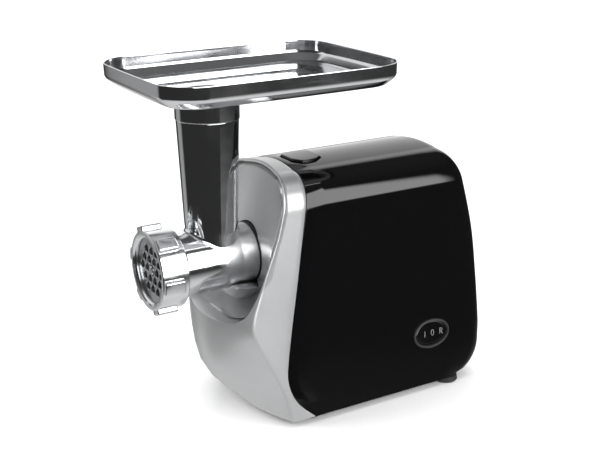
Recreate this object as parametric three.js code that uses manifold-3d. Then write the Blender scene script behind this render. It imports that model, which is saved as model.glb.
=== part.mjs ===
// Electric meat grinder with a tray-fed metal head on a plastic-cased motor base.
// Millimetres, +Z up. The head points along -Y and the base lies behind it, along +Y.
// Depths (y) are measured from the axis of the feed tube, heights (z) from the surface it stands on,
// and the finished group is shifted along Y so that its origin lies under the middle of its length.
import * as THREE from "three";
import { mergeVertices } from "three/addons/utils/BufferGeometryUtils.js";
import Module from "manifold-3d";

const wasm = await Module();
wasm.setup();

// ---- Clearances ----
const gap = 0.3; // between pieces that touch
const runGap = 0.4; // round a turning or sliding piece
const shaftGap = 0.05; // round a shaft in its bush
const seamGap = 0.6; // visible joint between the two casings

// ---- Base: overall ----
const footHeight = 5.5;
const bodyHeight = 205.5; // base edge to the top at the corners
const crown = 3; // rise of the top towards its middle
const halfWidthLow = 67.1; // at the base edge
const sideLean = 0.0737; // half-width lost per millimetre of height
const topCorner = 28; // radius between side and top
const backDepth = 243; // feed tube axis to the rearmost point of the base
const backCorner = 16; // radius of the rear upright edges
const backFoot = 30; // radius where the back runs into the base edge
const wall = 2.6;
const baseZ = footHeight;

// Front of the base by height above the base edge: depth of the middle and how far it falls back
// 60 mm to the side.
const bowSpan = 60;
const frontLine = [
  { h: 0, middle: 21.7, bow: 12.1 },
  { h: 30, middle: -5.5, bow: 29 },
  { h: 60, middle: -13.5, bow: 25.8 },
  { h: 90, middle: -10.3, bow: 14.8 },
  { h: 125, middle: 2.4, bow: 16 },
  { h: 165, middle: 24.2, bow: 11.5 },
  { h: 206, middle: 47.7, bow: -5 },
];
// How far the back leans in, by height above the base edge.
const backLine = [
  { h: 30, inset: 0.8 },
  { h: 46, inset: 0 },
  { h: 99, inset: 3.2 },
  { h: 136, inset: 7 },
  { h: 179, inset: 16.3 },
  { h: 206, inset: 24 },
];
// Joint line between the front casing and the main shell, seen from the side. Its cut runs on
// above the top by seamAbove.
const seamAbove = 14.5;
const seamLine = [
  { h: -8, y: 69 },
  { h: 0, y: 59 },
  { h: 14, y: 44.3 },
  { h: 29, y: 36.6 },
  { h: 46, y: 34.9 },
  { h: 126, y: 49.2 },
  { h: 220, y: 66.1 },
];

// ---- Recess in the front casing ----
const axisZ = 138.5; // barrel, auger and drive
const recessLowest = 86.5; // heights above the base edge
const recessSquare = 127.7; // above this its sides follow the casing
const rimLip = 1.2;
const recessWallY = 34.5;
const recessLeanFrom = 150;
const recessLeanTo = bodyHeight - 13;
const recessLeanDepth = 14.025; // how far its wall falls back between those heights
const recessLean = recessLeanDepth / (recessLeanTo - recessLeanFrom);
const recessFillet = 6; // exponent: higher makes the recess wall meet its floor more tightly

// ---- Grinding head ----
const flangeRadius = 24.6;
const flangeY = 31.3;
const flangeThickness = 3.6;
const neckRadius = 23.8;
const barrelRadius = 27.7; // just behind the ring cap
const capRadius = 33;
const capFrontY = -58.9;
const capLength = 23;
const capFace = 29.3; // inner edge of the cap's front face
const capLip = 27; // opening in front of the plate
const lugHeight = 3.8;
const lugWidth = 12;
const lugLength = 17;
const lugCount = 6;
const lugStart = (52 / 180) * Math.PI;
const threadRadius = 30.2;
const plateThickness = 5;
const plateHole = 3.4;
const platePitch = 9.4;
const plateFrontY = -54.5;
const knifeRadius = 25.4;
const knifeThickness = 6;
const knifeSquare = 5.5; // half of the square's side
const boreRadius = 21.5;
const tubeTop = 25.9;
const tubeBottom = 22;
const tubeWall = 3.2;
const skirtRadius = 26.6;
const skirtLength = 20;
const augerRadius = boreRadius - 0.9;
const augerCore = 8.6;
const augerTurns = 2.6;
const augerEndY = 24.5;
const pinRadius = 3.9;
const hexRadius = 6.1; // drive hexagon, centre to corner
const bushFlange = 15;
const bushRadius = 11;
const couplingRadius = 21.8; // hollow rear end of the head
const couplingEndY = 54.5;
const bayonetRadius = 23.6;
const bayonetLugs = [90, 210, 330]; // degrees
const bayonetTurn = 38; // degrees to unlock

// ---- Socket ----
const socketOuter = 25.4;
const collarOuter = 27.7;
const socketEndY = 56.5;
const collarLipY = 8;
const collarFlare = 12.5; // how far its lower lip swells
const collarDrop = 20; // the lip starts this far under the barrel axis

// ---- Tray ----
const trayWidth = 160.1;
const trayLength = 210.2;
const trayTopZ = 299.4;
const trayCorner = 30;
const trayBow = 1.9; // how far the long sides bow
const trayBowEnds = 1.5;
const trayFrontY = -65.65;
const traySheet = 1.1;
// Outside of the tray from its rim down: depth below the rim and how far it is set in.
const trayProfile = [
  { down: 0, inset: 0.8 },
  { down: 1.6, inset: 0 },
  { down: 11, inset: 0.4 },
  { down: 12.5, inset: 2 },
  { down: 17, inset: 9 },
  { down: 20, inset: 18 },
  { down: 21.5, inset: 30 },
];
const trayDepth = trayProfile[trayProfile.length - 1].down;

// ---- Drive ----
const motorZ = 62; // height of the motor shaft
const motorTeeth = 9;
const idlerTeeth = 63;
const idlerPinionTeeth = 10;
const outputTeeth = 60;
const fastModule = 1;
const slowModule = 1.25;
const fastWidth = 8;
const slowWidth = 12;
const pinionShift = 0.5;
const backlash = 0.3;
const gearboxY = 57;
const coverThickness = 4;
const caseWall = 4;
const spindleRadius = 8;
const idlerShaftRadius = 4;
const bushWall = 3;
const motorShaftRadius = 3;
const motorRadius = 34;
const armatureRadius = motorRadius - 15;
const stackLength = 36;

// ---- Controls ----
const buttonLong = 28;
const seamToButton = 7.6; // clear top of the shell in front of the button
const buttonWide = 35;
const buttonThick = 8;
const buttonProud = 2;
const latchY = 51.5;
const latchThickness = 3;
const springRadius = 4;
const springX = 11;
const springAhead = 5.5; // spring axis to the middle of the button
const switchY = backDepth - 61.6;
const switchH = 46.9; // above the base edge
const bezelLong = 39;
const bezelHigh = 27;
const bezelProud = 1.6;
const rockerLong = 28.4;
const rockerHigh = 17.6;

// ---- Feet and fastenings ----
const footRadius = 11;
const footSpots = [
  { name: "front_left", x: -50, y: 62 },
  { name: "front_right", x: 50, y: 62 },
  { name: "rear_left", x: -50, y: backDepth - 39.5 },
  { name: "rear_right", x: 50, y: backDepth - 39.5 },
];
const screwSpots = [
  { name: "front_left", x: -57, y: 84 },
  { name: "front_right", x: 57, y: 84 },
  { name: "rear_left", x: -57, y: backDepth - 67 },
  { name: "rear_right", x: 57, y: backDepth - 67 },
];
const screwRadius = 1.6;
const screwHead = 3.4;
const screwLength = 18;
const postRadius = 4.4;
const glandRadius = 6;
const glandX = 34;
const glandZ = 30;

const round = 32; // facets round a visible turned piece
const roundSmall = 16; // facets round a small or inner one
const roundMotor = 24; // facets round the motor's housings
const roundLatch = 36; // facets round the latch ring

// ---- Geometry helpers ----
function toSolid(geometry) {
  const bare = new THREE.BufferGeometry();
  bare.setAttribute("position", geometry.getAttribute("position"));
  bare.setIndex(geometry.index);
  const merged = mergeVertices(bare, 1e-4);
  return new wasm.Manifold(
    new wasm.Mesh({
      numProp: 3,
      vertProperties: merged.attributes.position.array,
      triVerts: new Uint32Array(merged.index.array),
    }),
  );
}

function toGeometry(manifold) {
  const mesh = manifold.getMesh();
  const positions = new Float32Array(mesh.numVert * 3);
  for (let i = 0; i < mesh.numVert; i++) {
    positions.set(mesh.vertProperties.subarray(i * mesh.numProp, i * mesh.numProp + 3), i * 3);
  }
  return new THREE.BufferGeometry()
    .setAttribute("position", new THREE.BufferAttribute(positions, 3))
    .setIndex(new THREE.BufferAttribute(mesh.triVerts, 1));
}

const joined = (first, ...others) => others.reduce((all, next) => all.add(next), first);
const cut = (first, ...others) => others.reduce((all, next) => all.subtract(next), first);

// A profile of [radius, y] points turned about the Y axis; it starts and ends on the axis or on
// its own first point, and runs up its outside.
function turned(profile, segments = round) {
  return new THREE.LatheGeometry(
    profile.map(([r, y]) => new THREE.Vector2(r, y)),
    segments,
  );
}

function rod(radius, y0, y1, segments = roundSmall) {
  return new THREE.CylinderGeometry(radius, radius, y1 - y0, segments).translate(0, (y0 + y1) / 2, 0);
}

function sleeve(outer, inner, y0, y1, segments = roundSmall) {
  return turned([[inner, y0], [outer, y0], [outer, y1], [inner, y1], [inner, y0]], segments);
}

// Lays a piece made about Y along Z instead, with its y = 0 end at the bottom.
const upright = (geometry) => geometry.rotateX(Math.PI / 2);

const box = (x0, x1, y0, y1, z0, z1) =>
  new THREE.BoxGeometry(x1 - x0, y1 - y0, z1 - z0).translate((x0 + x1) / 2, (y0 + y1) / 2, (z0 + z1) / 2);

// An outline in x and z given thickness along Y from y0 to y1.
function slabY(shape, y0, y1, curveSegments = 8) {
  return new THREE.ExtrudeGeometry(shape, { depth: y1 - y0, bevelEnabled: false, curveSegments })
    .rotateX(Math.PI / 2)
    .translate(0, y1, 0);
}

// An outline in y and z given thickness along X from x0 to x1.
function slabX(shape, x0, x1, curveSegments = 8) {
  const turn = new THREE.Matrix4().makeBasis(
    new THREE.Vector3(0, 1, 0),
    new THREE.Vector3(0, 0, 1),
    new THREE.Vector3(1, 0, 0),
  );
  return new THREE.ExtrudeGeometry(shape, { depth: x1 - x0, bevelEnabled: false, curveSegments })
    .applyMatrix4(turn)
    .translate(x0, 0, 0);
}

// An outline in x and y given thickness along Z from z0 to z1.
function slabZ(shape, z0, z1, curveSegments = 8) {
  return new THREE.ExtrudeGeometry(shape, { depth: z1 - z0, bevelEnabled: false, curveSegments })
    .translate(0, 0, z0);
}

function polygonShape(sides, radius) {
  const corners = [];
  for (let i = 0; i < sides; i++) {
    const a = (i / sides) * Math.PI * 2;
    corners.push(new THREE.Vector2(radius * Math.cos(a), radius * Math.sin(a)));
  }
  return new THREE.Shape(corners);
}

function roundedBox(x0, x1, y0, y1, r) {
  const shape = new THREE.Shape();
  shape.absarc(x1 - r, y1 - r, r, 0, Math.PI / 2);
  shape.absarc(x0 + r, y1 - r, r, Math.PI / 2, Math.PI);
  shape.absarc(x0 + r, y0 + r, r, Math.PI, Math.PI * 1.5);
  shape.absarc(x1 - r, y0 + r, r, Math.PI * 1.5, Math.PI * 2);
  return shape;
}

// A closed body through rings of points, all of one length; each end closes on its middle.
function loft(rings) {
  const count = rings[0].length;
  const positions = rings.flat();
  const middle = (ring) =>
    [0, 1, 2].map((k) => ring.reduce((sum, point) => sum + point[k], 0) / ring.length);
  positions.push(middle(rings[0]), middle(rings[rings.length - 1]));
  const faces = [];
  const last = (rings.length - 1) * count;
  for (let i = 0; i < count; i++) {
    const next = (i + 1) % count;
    for (let k = 0; k < rings.length - 1; k++) {
      const a = k * count;
      const b = a + count;
      faces.push(a + i, a + next, b + next, a + i, b + next, b + i);
    }
    faces.push(rings.length * count, next, i);
    faces.push(rings.length * count + 1, last + i, last + next);
  }
  return closedMesh(positions, faces);
}

function closedMesh(points, faces) {
  return new THREE.BufferGeometry()
    .setAttribute("position", new THREE.Float32BufferAttribute(points.flat(), 3))
    .setIndex(faces);
}

// A smooth value between named stations, by height.
function along(stations, key, h) {
  const last = stations.length - 1;
  const slope = (i) => {
    const a = stations[Math.max(i - 1, 0)];
    const b = stations[Math.min(i + 1, last)];
    return (b[key] - a[key]) / (b.h - a.h);
  };
  let i = stations.findIndex((station) => station.h > h) - 1;
  if (i < -1 || h >= stations[last].h) return stations[last][key] + slope(last) * (h - stations[last].h);
  if (i < 0) return stations[0][key] + slope(0) * (h - stations[0].h);
  const span = stations[i + 1].h - stations[i].h;
  const t = (h - stations[i].h) / span;
  const u = 1 - t;
  return (
    stations[i][key] * u * u * (1 + 2 * t) +
    slope(i) * span * t * u * u +
    stations[i + 1][key] * t * t * (3 - 2 * t) -
    slope(i + 1) * span * t * t * u
  );
}

// ---- Base shape ----
const halfWidth = (h) => halfWidthLow - sideLean * h;
const frontY = (x, h) => along(frontLine, "middle", h) + along(frontLine, "bow", h) * (x / bowSpan) ** 2;

function backY(h) {
  const lean = along(backLine, "inset", Math.max(h, backFoot));
  const drop = Math.max(backFoot - Math.max(h, 0), 0);
  return backDepth - lean - (backFoot - Math.sqrt(backFoot ** 2 - drop ** 2));
}

// Right half of the arch-shaped cross-section as [x, h], from its lower edge to the top middle.
function archHalf(inset, lowest) {
  const points = [];
  const cornerH = bodyHeight - topCorner;
  const middleX = halfWidth(cornerH) - topCorner;
  for (const h of [lowest, 3, 9, 18, 30, 46, 99, 136, cornerH]) {
    points.push([halfWidth(h) - inset, h]);
  }
  for (let i = 1; i <= 5; i++) {
    const a = (i / 5) * (Math.PI / 2);
    const r = topCorner - inset;
    points.push([middleX + r * Math.cos(a), cornerH + r * Math.sin(a)]);
  }
  for (let i = 1; i <= 2; i++) {
    const x = middleX * (1 - i / 2);
    points.push([x, bodyHeight - inset + crown * (1 - (x / middleX) ** 2)]);
  }
  return points;
}

// The whole base envelope, set in by the same amount all round.
function baseEnvelope(inset, lowest) {
  const startY = -70;
  const corner = backCorner - inset;
  const sections = [0, 0.6].map((share) => ({ share, run: corner, extra: 0 }));
  for (let i = 0; i <= 4; i++) {
    const a = (i / 4) * (Math.PI / 2) * 0.96;
    sections.push({ share: 1, run: corner * (1 - Math.sin(a)), extra: corner * (1 - Math.cos(a)) });
  }
  const half = sections.map(({ share, run, extra }) =>
    archHalf(inset + extra, lowest).map(([x, h]) => {
      const y = startY + (backY(h) - inset - run - startY) * share;
      return [x, y, baseZ + h];
    }),
  );
  const rings = half.map((points) => [
    ...points,
    ...points.slice(0, -1).reverse().map(([x, y, z]) => [-x, y, z]),
  ]);
  return toSolid(symmetricLoft(rings));
}

// As loft, but each end closes straight across between the left and right points.
function symmetricLoft(rings) {
  const count = rings[0].length;
  const faces = [];
  for (let k = 0; k < rings.length - 1; k++) {
    for (let i = 0; i < count; i++) {
      const a = k * count;
      const b = a + count;
      const next = (i + 1) % count;
      faces.push(a + i, b + next, a + next, a + i, b + i, b + next);
    }
  }
  const last = (rings.length - 1) * count;
  for (let i = 0; i < (count - 1) / 2; i++) {
    const left = count - 1 - i;
    const upper = i + 1;
    const upperLeft = count - 1 - upper;
    faces.push(i, upper, left);
    faces.push(last + i, last + left, last + upper);
    if (upper !== upperLeft) {
      faces.push(left, upper, upperLeft);
      faces.push(last + left, last + upperLeft, last + upper);
    }
  }
  return closedMesh(rings.flat(), faces);
}

// Rim of the recess as [x, h] round from the bottom middle, grown outwards by the margin.
function recessRim(margin) {
  const side = halfWidth(recessSquare) - rimLip + margin;
  const lowest = recessLowest - margin;
  const right = [];
  for (let i = 0; i <= 9; i++) {
    const share = Math.sin((i / 9) * (Math.PI / 2));
    right.push([side * share, recessSquare - (recessSquare - lowest) * (1 - share ** 4) ** 0.25]);
  }
  const cornerH = bodyHeight - topCorner;
  const r = topCorner - rimLip + margin;
  const middleX = halfWidth(cornerH) - topCorner;
  const between = (recessSquare + cornerH) / 2;
  right.push([halfWidth(between) - rimLip + margin, between]);
  for (let i = 0; i <= 4; i++) {
    const a = (i / 4) * (Math.PI / 2);
    right.push([middleX + r * Math.cos(a), cornerH + r * Math.sin(a)]);
  }
  for (let i = 1; i <= 2; i++) {
    const x = middleX * (1 - i / 2);
    right.push([x, bodyHeight - rimLip + margin + crown * (1 - (x / middleX) ** 2)]);
  }
  return [...right, ...right.slice(1, -1).reverse().map(([x, h]) => [-x, h])];
}

// Everything in front of the casing's front face and recess, set back by the margin.
function frontSpace(margin) {
  const rim = recessRim(margin);
  const centreH = axisZ - baseZ;
  const beyond = 30;
  const reach = halfWidthLow + beyond;
  const below = centreH + beyond;
  const above = bodyHeight + beyond - centreH;
  const deep = (h) => recessWallY + Math.max(h - recessLeanFrom, 0) * recessLean + margin;
  const face = (x, h) => frontY(x, h) + margin;
  const rings = [];
  for (const share of [0.5, 0.75, 0.88, 0.96, 1]) {
    rings.push(
      rim.map(([x, h]) => {
        const px = x * share;
        const ph = centreH + (h - centreH) * share;
        return [px, face(px, ph) + (deep(ph) - face(px, ph)) * (1 - share ** recessFillet), baseZ + ph];
      }),
    );
  }
  const outer = rim.map(([x, h]) => {
    const dh = h - centreH;
    const upright = (dh < 0 ? below : above) / Math.max(Math.abs(dh), 1e-6);
    const stretch = Math.min(reach / Math.max(Math.abs(x), 1e-6), upright);
    return [x * stretch, centreH + dh * stretch];
  });
  for (const share of [0.15, 0.33, 0.55, 0.78, 1]) {
    rings.push(
      rim.map(([x, h], i) => {
        const px = x + (outer[i][0] - x) * share;
        const ph = h + (outer[i][1] - h) * share;
        return [px, face(px, ph), baseZ + ph];
      }),
    );
  }
  rings.push(outer.map(([x, h]) => [x, -140, baseZ + h]));
  return toSolid(loft(rings));
}

// Everything behind the joint between the casings.
function behindSeam(offset) {
  const heights = [-8, 1, 10, 19, 28, 37, 46, 126, bodyHeight + seamAbove];
  const line = heights.map((h) => new THREE.Vector2(along(seamLine, "y", h) + offset, baseZ + h));
  line.push(new THREE.Vector2(300, line[line.length - 1].y), new THREE.Vector2(300, line[0].y));
  return toSolid(slabX(new THREE.Shape(line), -110, 110));
}

const outerBody = baseEnvelope(0, 0);
const hollow = cut(baseEnvelope(wall, -12), frontSpace(wall));
const bodySkin = cut(outerBody, frontSpace(0), hollow);

// ---- Casings ----
const crownRun = halfWidth(bodyHeight - topCorner) - topCorner;
const buttonY = along(seamLine, "y", bodyHeight) + seamToButton + buttonLong / 2; // middle of the button
const springY = buttonY - springAhead;
const topZ = (x) => baseZ + bodyHeight + crown * (1 - (x / crownRun) ** 2);
const plateTopZ = baseZ + gap + wall;

const cylinderZ = (radius, x, y, z0, z1, segments = roundSmall) =>
  toSolid(new THREE.CylinderGeometry(radius, radius, z1 - z0, segments).rotateX(Math.PI / 2)
    .translate(x, y, (z0 + z1) / 2));
const cylinderY = (radius, x, z, y0, y1, segments = roundSmall) =>
  toSolid(rod(radius, y0, y1, segments).translate(x, 0, z));
const block = (...ends) => toSolid(box(...ends));

function frontCasing() {
  const socketHole = cylinderY(collarOuter + gap, 0, axisZ, 0, latchY, round);
  return cut(bodySkin, behindSeam(-seamGap / 2), socketHole);
}

// A hollow post tied to the side wall, for one of the base screws.
function screwPost(spot) {
  const low = plateTopZ + gap;
  const high = low + screwLength;
  const side = Math.sign(spot.x);
  const edge = side * (halfWidthLow - wall / 2 - sideLean * (high - baseZ));
  const rib = block(Math.min(spot.x, edge), Math.max(spot.x, edge), spot.y - 1, spot.y + 1, low, high);
  return joined(cylinderZ(postRadius, spot.x, spot.y, low, high, 12), rib);
}

const screwHole = (spot, z0, z1) => cylinderZ(screwRadius + gap, spot.x, spot.y, z0, z1, 12);

function buttonShape(grow) {
  const long = buttonLong / 2 + grow;
  const wide = buttonWide / 2 + grow;
  const shape = new THREE.Shape();
  shape.moveTo(-wide * 0.5, buttonY - long);
  shape.lineTo(wide * 0.5, buttonY - long);
  shape.quadraticCurveTo(wide, buttonY - long * 0.85, wide, buttonY - long * 0.2);
  shape.quadraticCurveTo(wide * 0.9, buttonY + long, wide * 0.6, buttonY + long);
  shape.lineTo(-wide * 0.6, buttonY + long);
  shape.quadraticCurveTo(-wide * 0.9, buttonY + long, -wide, buttonY - long * 0.2);
  shape.quadraticCurveTo(-wide, buttonY - long * 0.85, -wide * 0.5, buttonY - long);
  return shape;
}

function mainShell() {
  const posts = screwSpots.map(screwPost);
  const bores = screwSpots.map((spot) => screwHole(spot, baseZ, plateTopZ + screwLength - 1));
  return cut(
    joined(bodySkin.intersect(behindSeam(seamGap / 2)), ...posts),
    ...bores,
    toSolid(slabZ(buttonShape(runGap), topZ(0) - buttonThick * 2, topZ(0) + buttonThick, 6)),
    onSide(ovalX(bezelLong / 2 - 2.5, bezelHigh / 2 - 2.5, -wall * 3, wall)),
    cylinderY(glandRadius + gap, glandX, glandZ, backDepth - 60, backDepth + 10),
  );
}

function basePlate() {
  const floor = cut(baseEnvelope(wall + gap, -12), frontSpace(wall + 2 * gap)).intersect(
    block(-90, 90, -60, backDepth, baseZ + gap, plateTopZ),
  );
  const slots = [];
  for (let row = 0; row < 3; row++) {
    const y = 108 + row * 9;
    for (const x of [-34, 34]) {
      const slot = roundedBox(x - 12, x + 12, y - 2, y + 2, 1.9);
      slots.push(toSolid(slabZ(slot, baseZ - 1, plateTopZ + 1, 2)));
    }
  }
  return cut(floor, ...slots, ...screwSpots.map((spot) => screwHole(spot, baseZ, plateTopZ + 1)));
}

function foot(spot) {
  const profile = [
    [0, 0],
    [footRadius - 1.2, 0],
    [footRadius, 1.2],
    [footRadius - 0.6, footHeight],
    [0, footHeight],
  ];
  return upright(turned(profile, roundSmall)).translate(spot.x, spot.y, 0);
}

function baseScrew(spot) {
  const profile = [
    [0, baseZ - 1.8],
    [screwHead * 0.7, baseZ - 1.8],
    [screwHead, baseZ - 0.6],
    [screwHead, baseZ],
    [screwRadius, baseZ],
    [screwRadius, plateTopZ + screwLength - 2],
    [0, plateTopZ + screwLength - 2],
  ];
  return upright(turned(profile, 12)).translate(spot.x, spot.y, 0);
}

// Snap-in bushing where a lead would leave the shell.
function cordGland() {
  const outside = backY(glandZ - baseZ);
  const profile = [
    [glandRadius - 2.4, outside - 12],
    [glandRadius, outside - 12],
    [glandRadius, outside - 1],
    [glandRadius - 0.8, outside + 1],
    [glandRadius - 2.4, outside + 1],
    [glandRadius - 2.4, outside - 12],
  ];
  return turned(profile, 20).translate(glandX, 0, glandZ);
}

// ---- Socket in the recess ----
// Ring round the flange, with a lower lip that reaches forward under the barrel.
function socketCollar() {
  const inner = socketOuter + gap;
  const profile = [
    [inner, collarLipY],
    [inner + 1.4, collarLipY],
    [inner + 7, collarLipY + 3],
    [inner + 11, collarLipY + 8],
    [inner + collarFlare, collarLipY + 15],
    [inner + 11, recessWallY - 3],
    [collarOuter, recessWallY - 1],
    [collarOuter, recessWallY + wall + 8],
    [inner, recessWallY + wall + 8],
    [inner, collarLipY],
  ];
  const upper = block(-60, 60, 0, flangeY - 0.5, axisZ - collarDrop, axisZ + 60);
  const ring = cut(toSolid(turned(profile).translate(0, 0, axisZ)), upper);
  const recess = frontSpace(-gap).add(cylinderY(collarOuter + gap / 2, 0, axisZ, 0, latchY, round));
  return ring.intersect(recess);
}

// Black bayonet socket that the hollow rear end of the head turns in.
function bayonetSocket() {
  const face = flangeY + gap;
  const mouth = couplingRadius + runGap;
  const chamber = bayonetRadius + runGap;
  const chamberY = couplingEndY - 6;
  const profile = [
    [mouth, face],
    [socketOuter, face],
    [socketOuter, socketEndY],
    [chamber, socketEndY],
    [chamber, chamberY],
    [mouth, chamberY],
    [mouth, face],
  ];
  const entries = bayonetLugs.map((angle) => bayonetLug(angle - bayonetTurn, runGap, face - 1, chamberY + 1));
  const toothSlot = block(-4, 4, latchY - 1, latchY + latchThickness + 1, axisZ - 30, axisZ - couplingRadius);
  return cut(toSolid(turned(profile).translate(0, 0, axisZ)), ...entries, toothSlot);
}

// One bayonet lug, at an angle in degrees from +X towards +Z.
function bayonetLug(angle, grow, y0, y1) {
  const half = THREE.MathUtils.degToRad(12) + grow / bayonetRadius;
  const middle = THREE.MathUtils.degToRad(angle);
  const shape = new THREE.Shape();
  shape.absarc(0, 0, bayonetRadius + grow, middle - half, middle + half, false);
  shape.absarc(0, 0, couplingRadius - 1, middle + half, middle - half, true);
  return toSolid(slabY(shape, y0, y1, 6).translate(0, 0, axisZ));
}

// ---- Head ----
const skirtInner = skirtRadius - traySheet;
const trayUnderZ = trayTopZ - trayDepth;
const tubeStepZ = trayUnderZ - skirtLength;
const barrelEndY = plateFrontY + plateThickness + gap;
const knifeRoom = knifeRadius + 1;

function headCasting() {
  const barrel = toSolid(
    turned([
      [0, barrelEndY],
      [threadRadius - 0.8, barrelEndY],
      [threadRadius, barrelEndY + 0.8],
      [threadRadius, capFrontY + capLength - 1],
      [barrelRadius, capFrontY + capLength - 1],
      [barrelRadius - 1, capFrontY + capLength + 10],
      [tubeBottom + 2.9, 2],
      [neckRadius, 16],
      [neckRadius + 0.1, 22],
      [flangeRadius, flangeY - flangeThickness],
      [flangeRadius, flangeY],
      [couplingRadius, flangeY],
      [couplingRadius, couplingEndY],
      [0, couplingEndY],
    ]).translate(0, 0, axisZ),
  );
  const tube = toSolid(
    upright(
      turned([
        [0, axisZ],
        [tubeBottom, axisZ],
        [tubeBottom, axisZ + neckRadius],
        [tubeTop, tubeStepZ],
        [skirtInner - gap, tubeStepZ],
        [skirtInner - gap, tubeStepZ + skirtLength - 2],
        [0, tubeStepZ + skirtLength - 2],
      ]),
    ),
  );
  const throat = toSolid(
    upright(
      turned([
        [0, axisZ],
        [tubeBottom - tubeWall, axisZ],
        [skirtInner - tubeWall, tubeStepZ],
        [skirtInner - tubeWall, tubeStepZ + skirtLength],
        [0, tubeStepZ + skirtLength],
      ]),
    ),
  );
  const innerBack = augerEndY + 2.6;
  const bores = [
    cylinderY(knifeRoom, 0, axisZ, barrelEndY - 1, barrelEndY + knifeThickness + 1.5, round),
    cylinderY(boreRadius, 0, axisZ, barrelEndY, innerBack, round),
    cylinderY(bushRadius + runGap, 0, axisZ, innerBack - 1, couplingEndY, round),
    cylinderY(couplingRadius - 3.4, 0, axisZ, innerBack + 5, couplingEndY + 1, round),
  ];
  const lugs = bayonetLugs.map((angle) => bayonetLug(angle, 0, couplingEndY - 5, couplingEndY - 1.5));
  const notchTop = axisZ - couplingRadius + 1.8;
  const notch = block(-3.6, 3.6, latchY - 0.6, latchY + latchThickness + 0.6, axisZ - 30, notchTop);
  const key = cylinderY(1.6, 0, axisZ + threadRadius - 2.4, plateFrontY + 1, barrelEndY + 1, 12);
  return cut(joined(barrel, tube, ...lugs), throat, ...bores, notch).add(key);
}

function ringCap() {
  const back = capFrontY + capLength;
  const cavity = threadRadius + runGap;
  const seat = plateFrontY - gap;
  const ring = toSolid(
    turned([
      [capFace, capFrontY],
      [capRadius - 1.2, capFrontY],
      [capRadius, capFrontY + 1.2],
      [capRadius, back],
      [cavity, back],
      [cavity, seat],
      [capLip, seat],
      [capLip, seat - 1.6],
      [capFace - 0.7, seat - 2.4],
      [capFace, capFrontY],
    ]).translate(0, 0, axisZ),
  );
  const lugs = [];
  for (let i = 0; i < lugCount; i++) {
    const shape = roundedBox(-lugWidth / 2, lugWidth / 2, capRadius - 2, capRadius + lugHeight + 2, 1.9);
    lugs.push(
      toSolid(
        slabY(shape, capFrontY + 0.6, capFrontY + 0.6 + lugLength, 3)
          .rotateY(Math.PI / 2 - lugStart - (i / lugCount) * Math.PI * 2)
          .translate(0, 0, axisZ),
      ),
    );
  }
  return cut(joined(ring, ...lugs), cylinderY(cavity, 0, axisZ, seat, back + 1, round));
}

function cuttingPlate() {
  const radius = threadRadius - 0.1;
  const holes = [[0, 0, pinRadius + 2 * runGap]];
  for (let i = 0; i < 6; i++) {
    const a = (i / 6) * Math.PI * 2;
    const mid = a + Math.PI / 6;
    holes.push([platePitch * Math.cos(a), platePitch * Math.sin(a), plateHole]);
    holes.push([2 * platePitch * Math.cos(a), 2 * platePitch * Math.sin(a), plateHole]);
    const reach = Math.sqrt(3) * platePitch;
    holes.push([reach * Math.cos(mid), reach * Math.sin(mid), plateHole]);
  }
  const shape = new THREE.Shape();
  shape.absarc(0, 0, radius, 0, Math.PI * 2);
  const disc = toSolid(slabY(shape, plateFrontY, plateFrontY + plateThickness, 24).translate(0, 0, axisZ));
  const bores = holes.map(([x, z, r]) =>
    cylinderY(r, x, axisZ + z, plateFrontY - 1, plateFrontY + plateThickness + 1, 10),
  );
  const keyway = block(-2, 2, plateFrontY - 1, 0, axisZ + radius - 4.4, axisZ + radius + 2);
  return cut(disc, ...bores, keyway);
}

function crossKnife() {
  const front = barrelEndY + 0.2;
  const shape = new THREE.Shape();
  const corners = [];
  for (let blade = 0; blade < 4; blade++) {
    const a = (blade / 4) * Math.PI * 2 + Math.PI / 4;
    const at = (along, across) =>
      new THREE.Vector2(
        along * Math.cos(a) - across * Math.sin(a),
        along * Math.sin(a) + across * Math.cos(a),
      );
    corners.push(at(10, -4.6), at(knifeRadius - 0.8, -3.2), at(knifeRadius - 0.4, 3.6), at(10, 4.6));
  }
  shape.setFromPoints(corners);
  const square = block(
    -knifeSquare - gap,
    knifeSquare + gap,
    front - 1,
    front + knifeThickness + 1,
    axisZ - knifeSquare - gap,
    axisZ + knifeSquare + gap,
  );
  return cut(toSolid(slabY(shape, front, front + knifeThickness).translate(0, 0, axisZ)), square);
}

// Feed screw: a core with one flight wound round it.
function auger() {
  const front = barrelEndY + knifeThickness + 1.8;
  const core = toSolid(
    turned(
      [
        [0, front],
        [augerCore, front],
        [augerCore + 2.5, augerEndY - 5],
        [augerRadius - 0.6, augerEndY - 4],
        [augerRadius - 0.6, augerEndY],
        [0, augerEndY],
      ],
      roundSmall,
    ).translate(0, 0, axisZ),
  );
  const squareFront = barrelEndY + 0.6;
  const half = knifeSquare;
  const square = block(-half, half, squareFront, front + 1, axisZ - half, axisZ + half);
  const bores = [
    cylinderY(pinRadius + gap, 0, axisZ, squareFront - 1, -30),
    toSolid(slabY(polygonShape(6, hexRadius + gap), 4, augerEndY + 1).translate(0, 0, axisZ)),
  ];
  return cut(joined(core, toSolid(augerFlight(front + 1, augerEndY - 3)), square), ...bores);
}

function augerFlight(y0, y1) {
  const steps = Math.round(augerTurns * 14);
  const rings = [];
  for (let i = 0; i <= steps; i++) {
    const share = i / steps;
    const a = share * augerTurns * Math.PI * 2;
    const y = y0 + 2 + (y1 - y0 - 4) * share;
    const point = (r, dy) => [r * Math.cos(a), y + dy, axisZ + r * Math.sin(a)];
    rings.push([
      point(augerCore - 2, -3),
      point(augerRadius, -1.2),
      point(augerRadius, 1.2),
      point(augerCore - 2, 3),
    ]);
  }
  return loft(rings);
}

const augerPin = () => rod(pinRadius, plateFrontY - 1.2, -31).translate(0, 0, axisZ);

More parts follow.
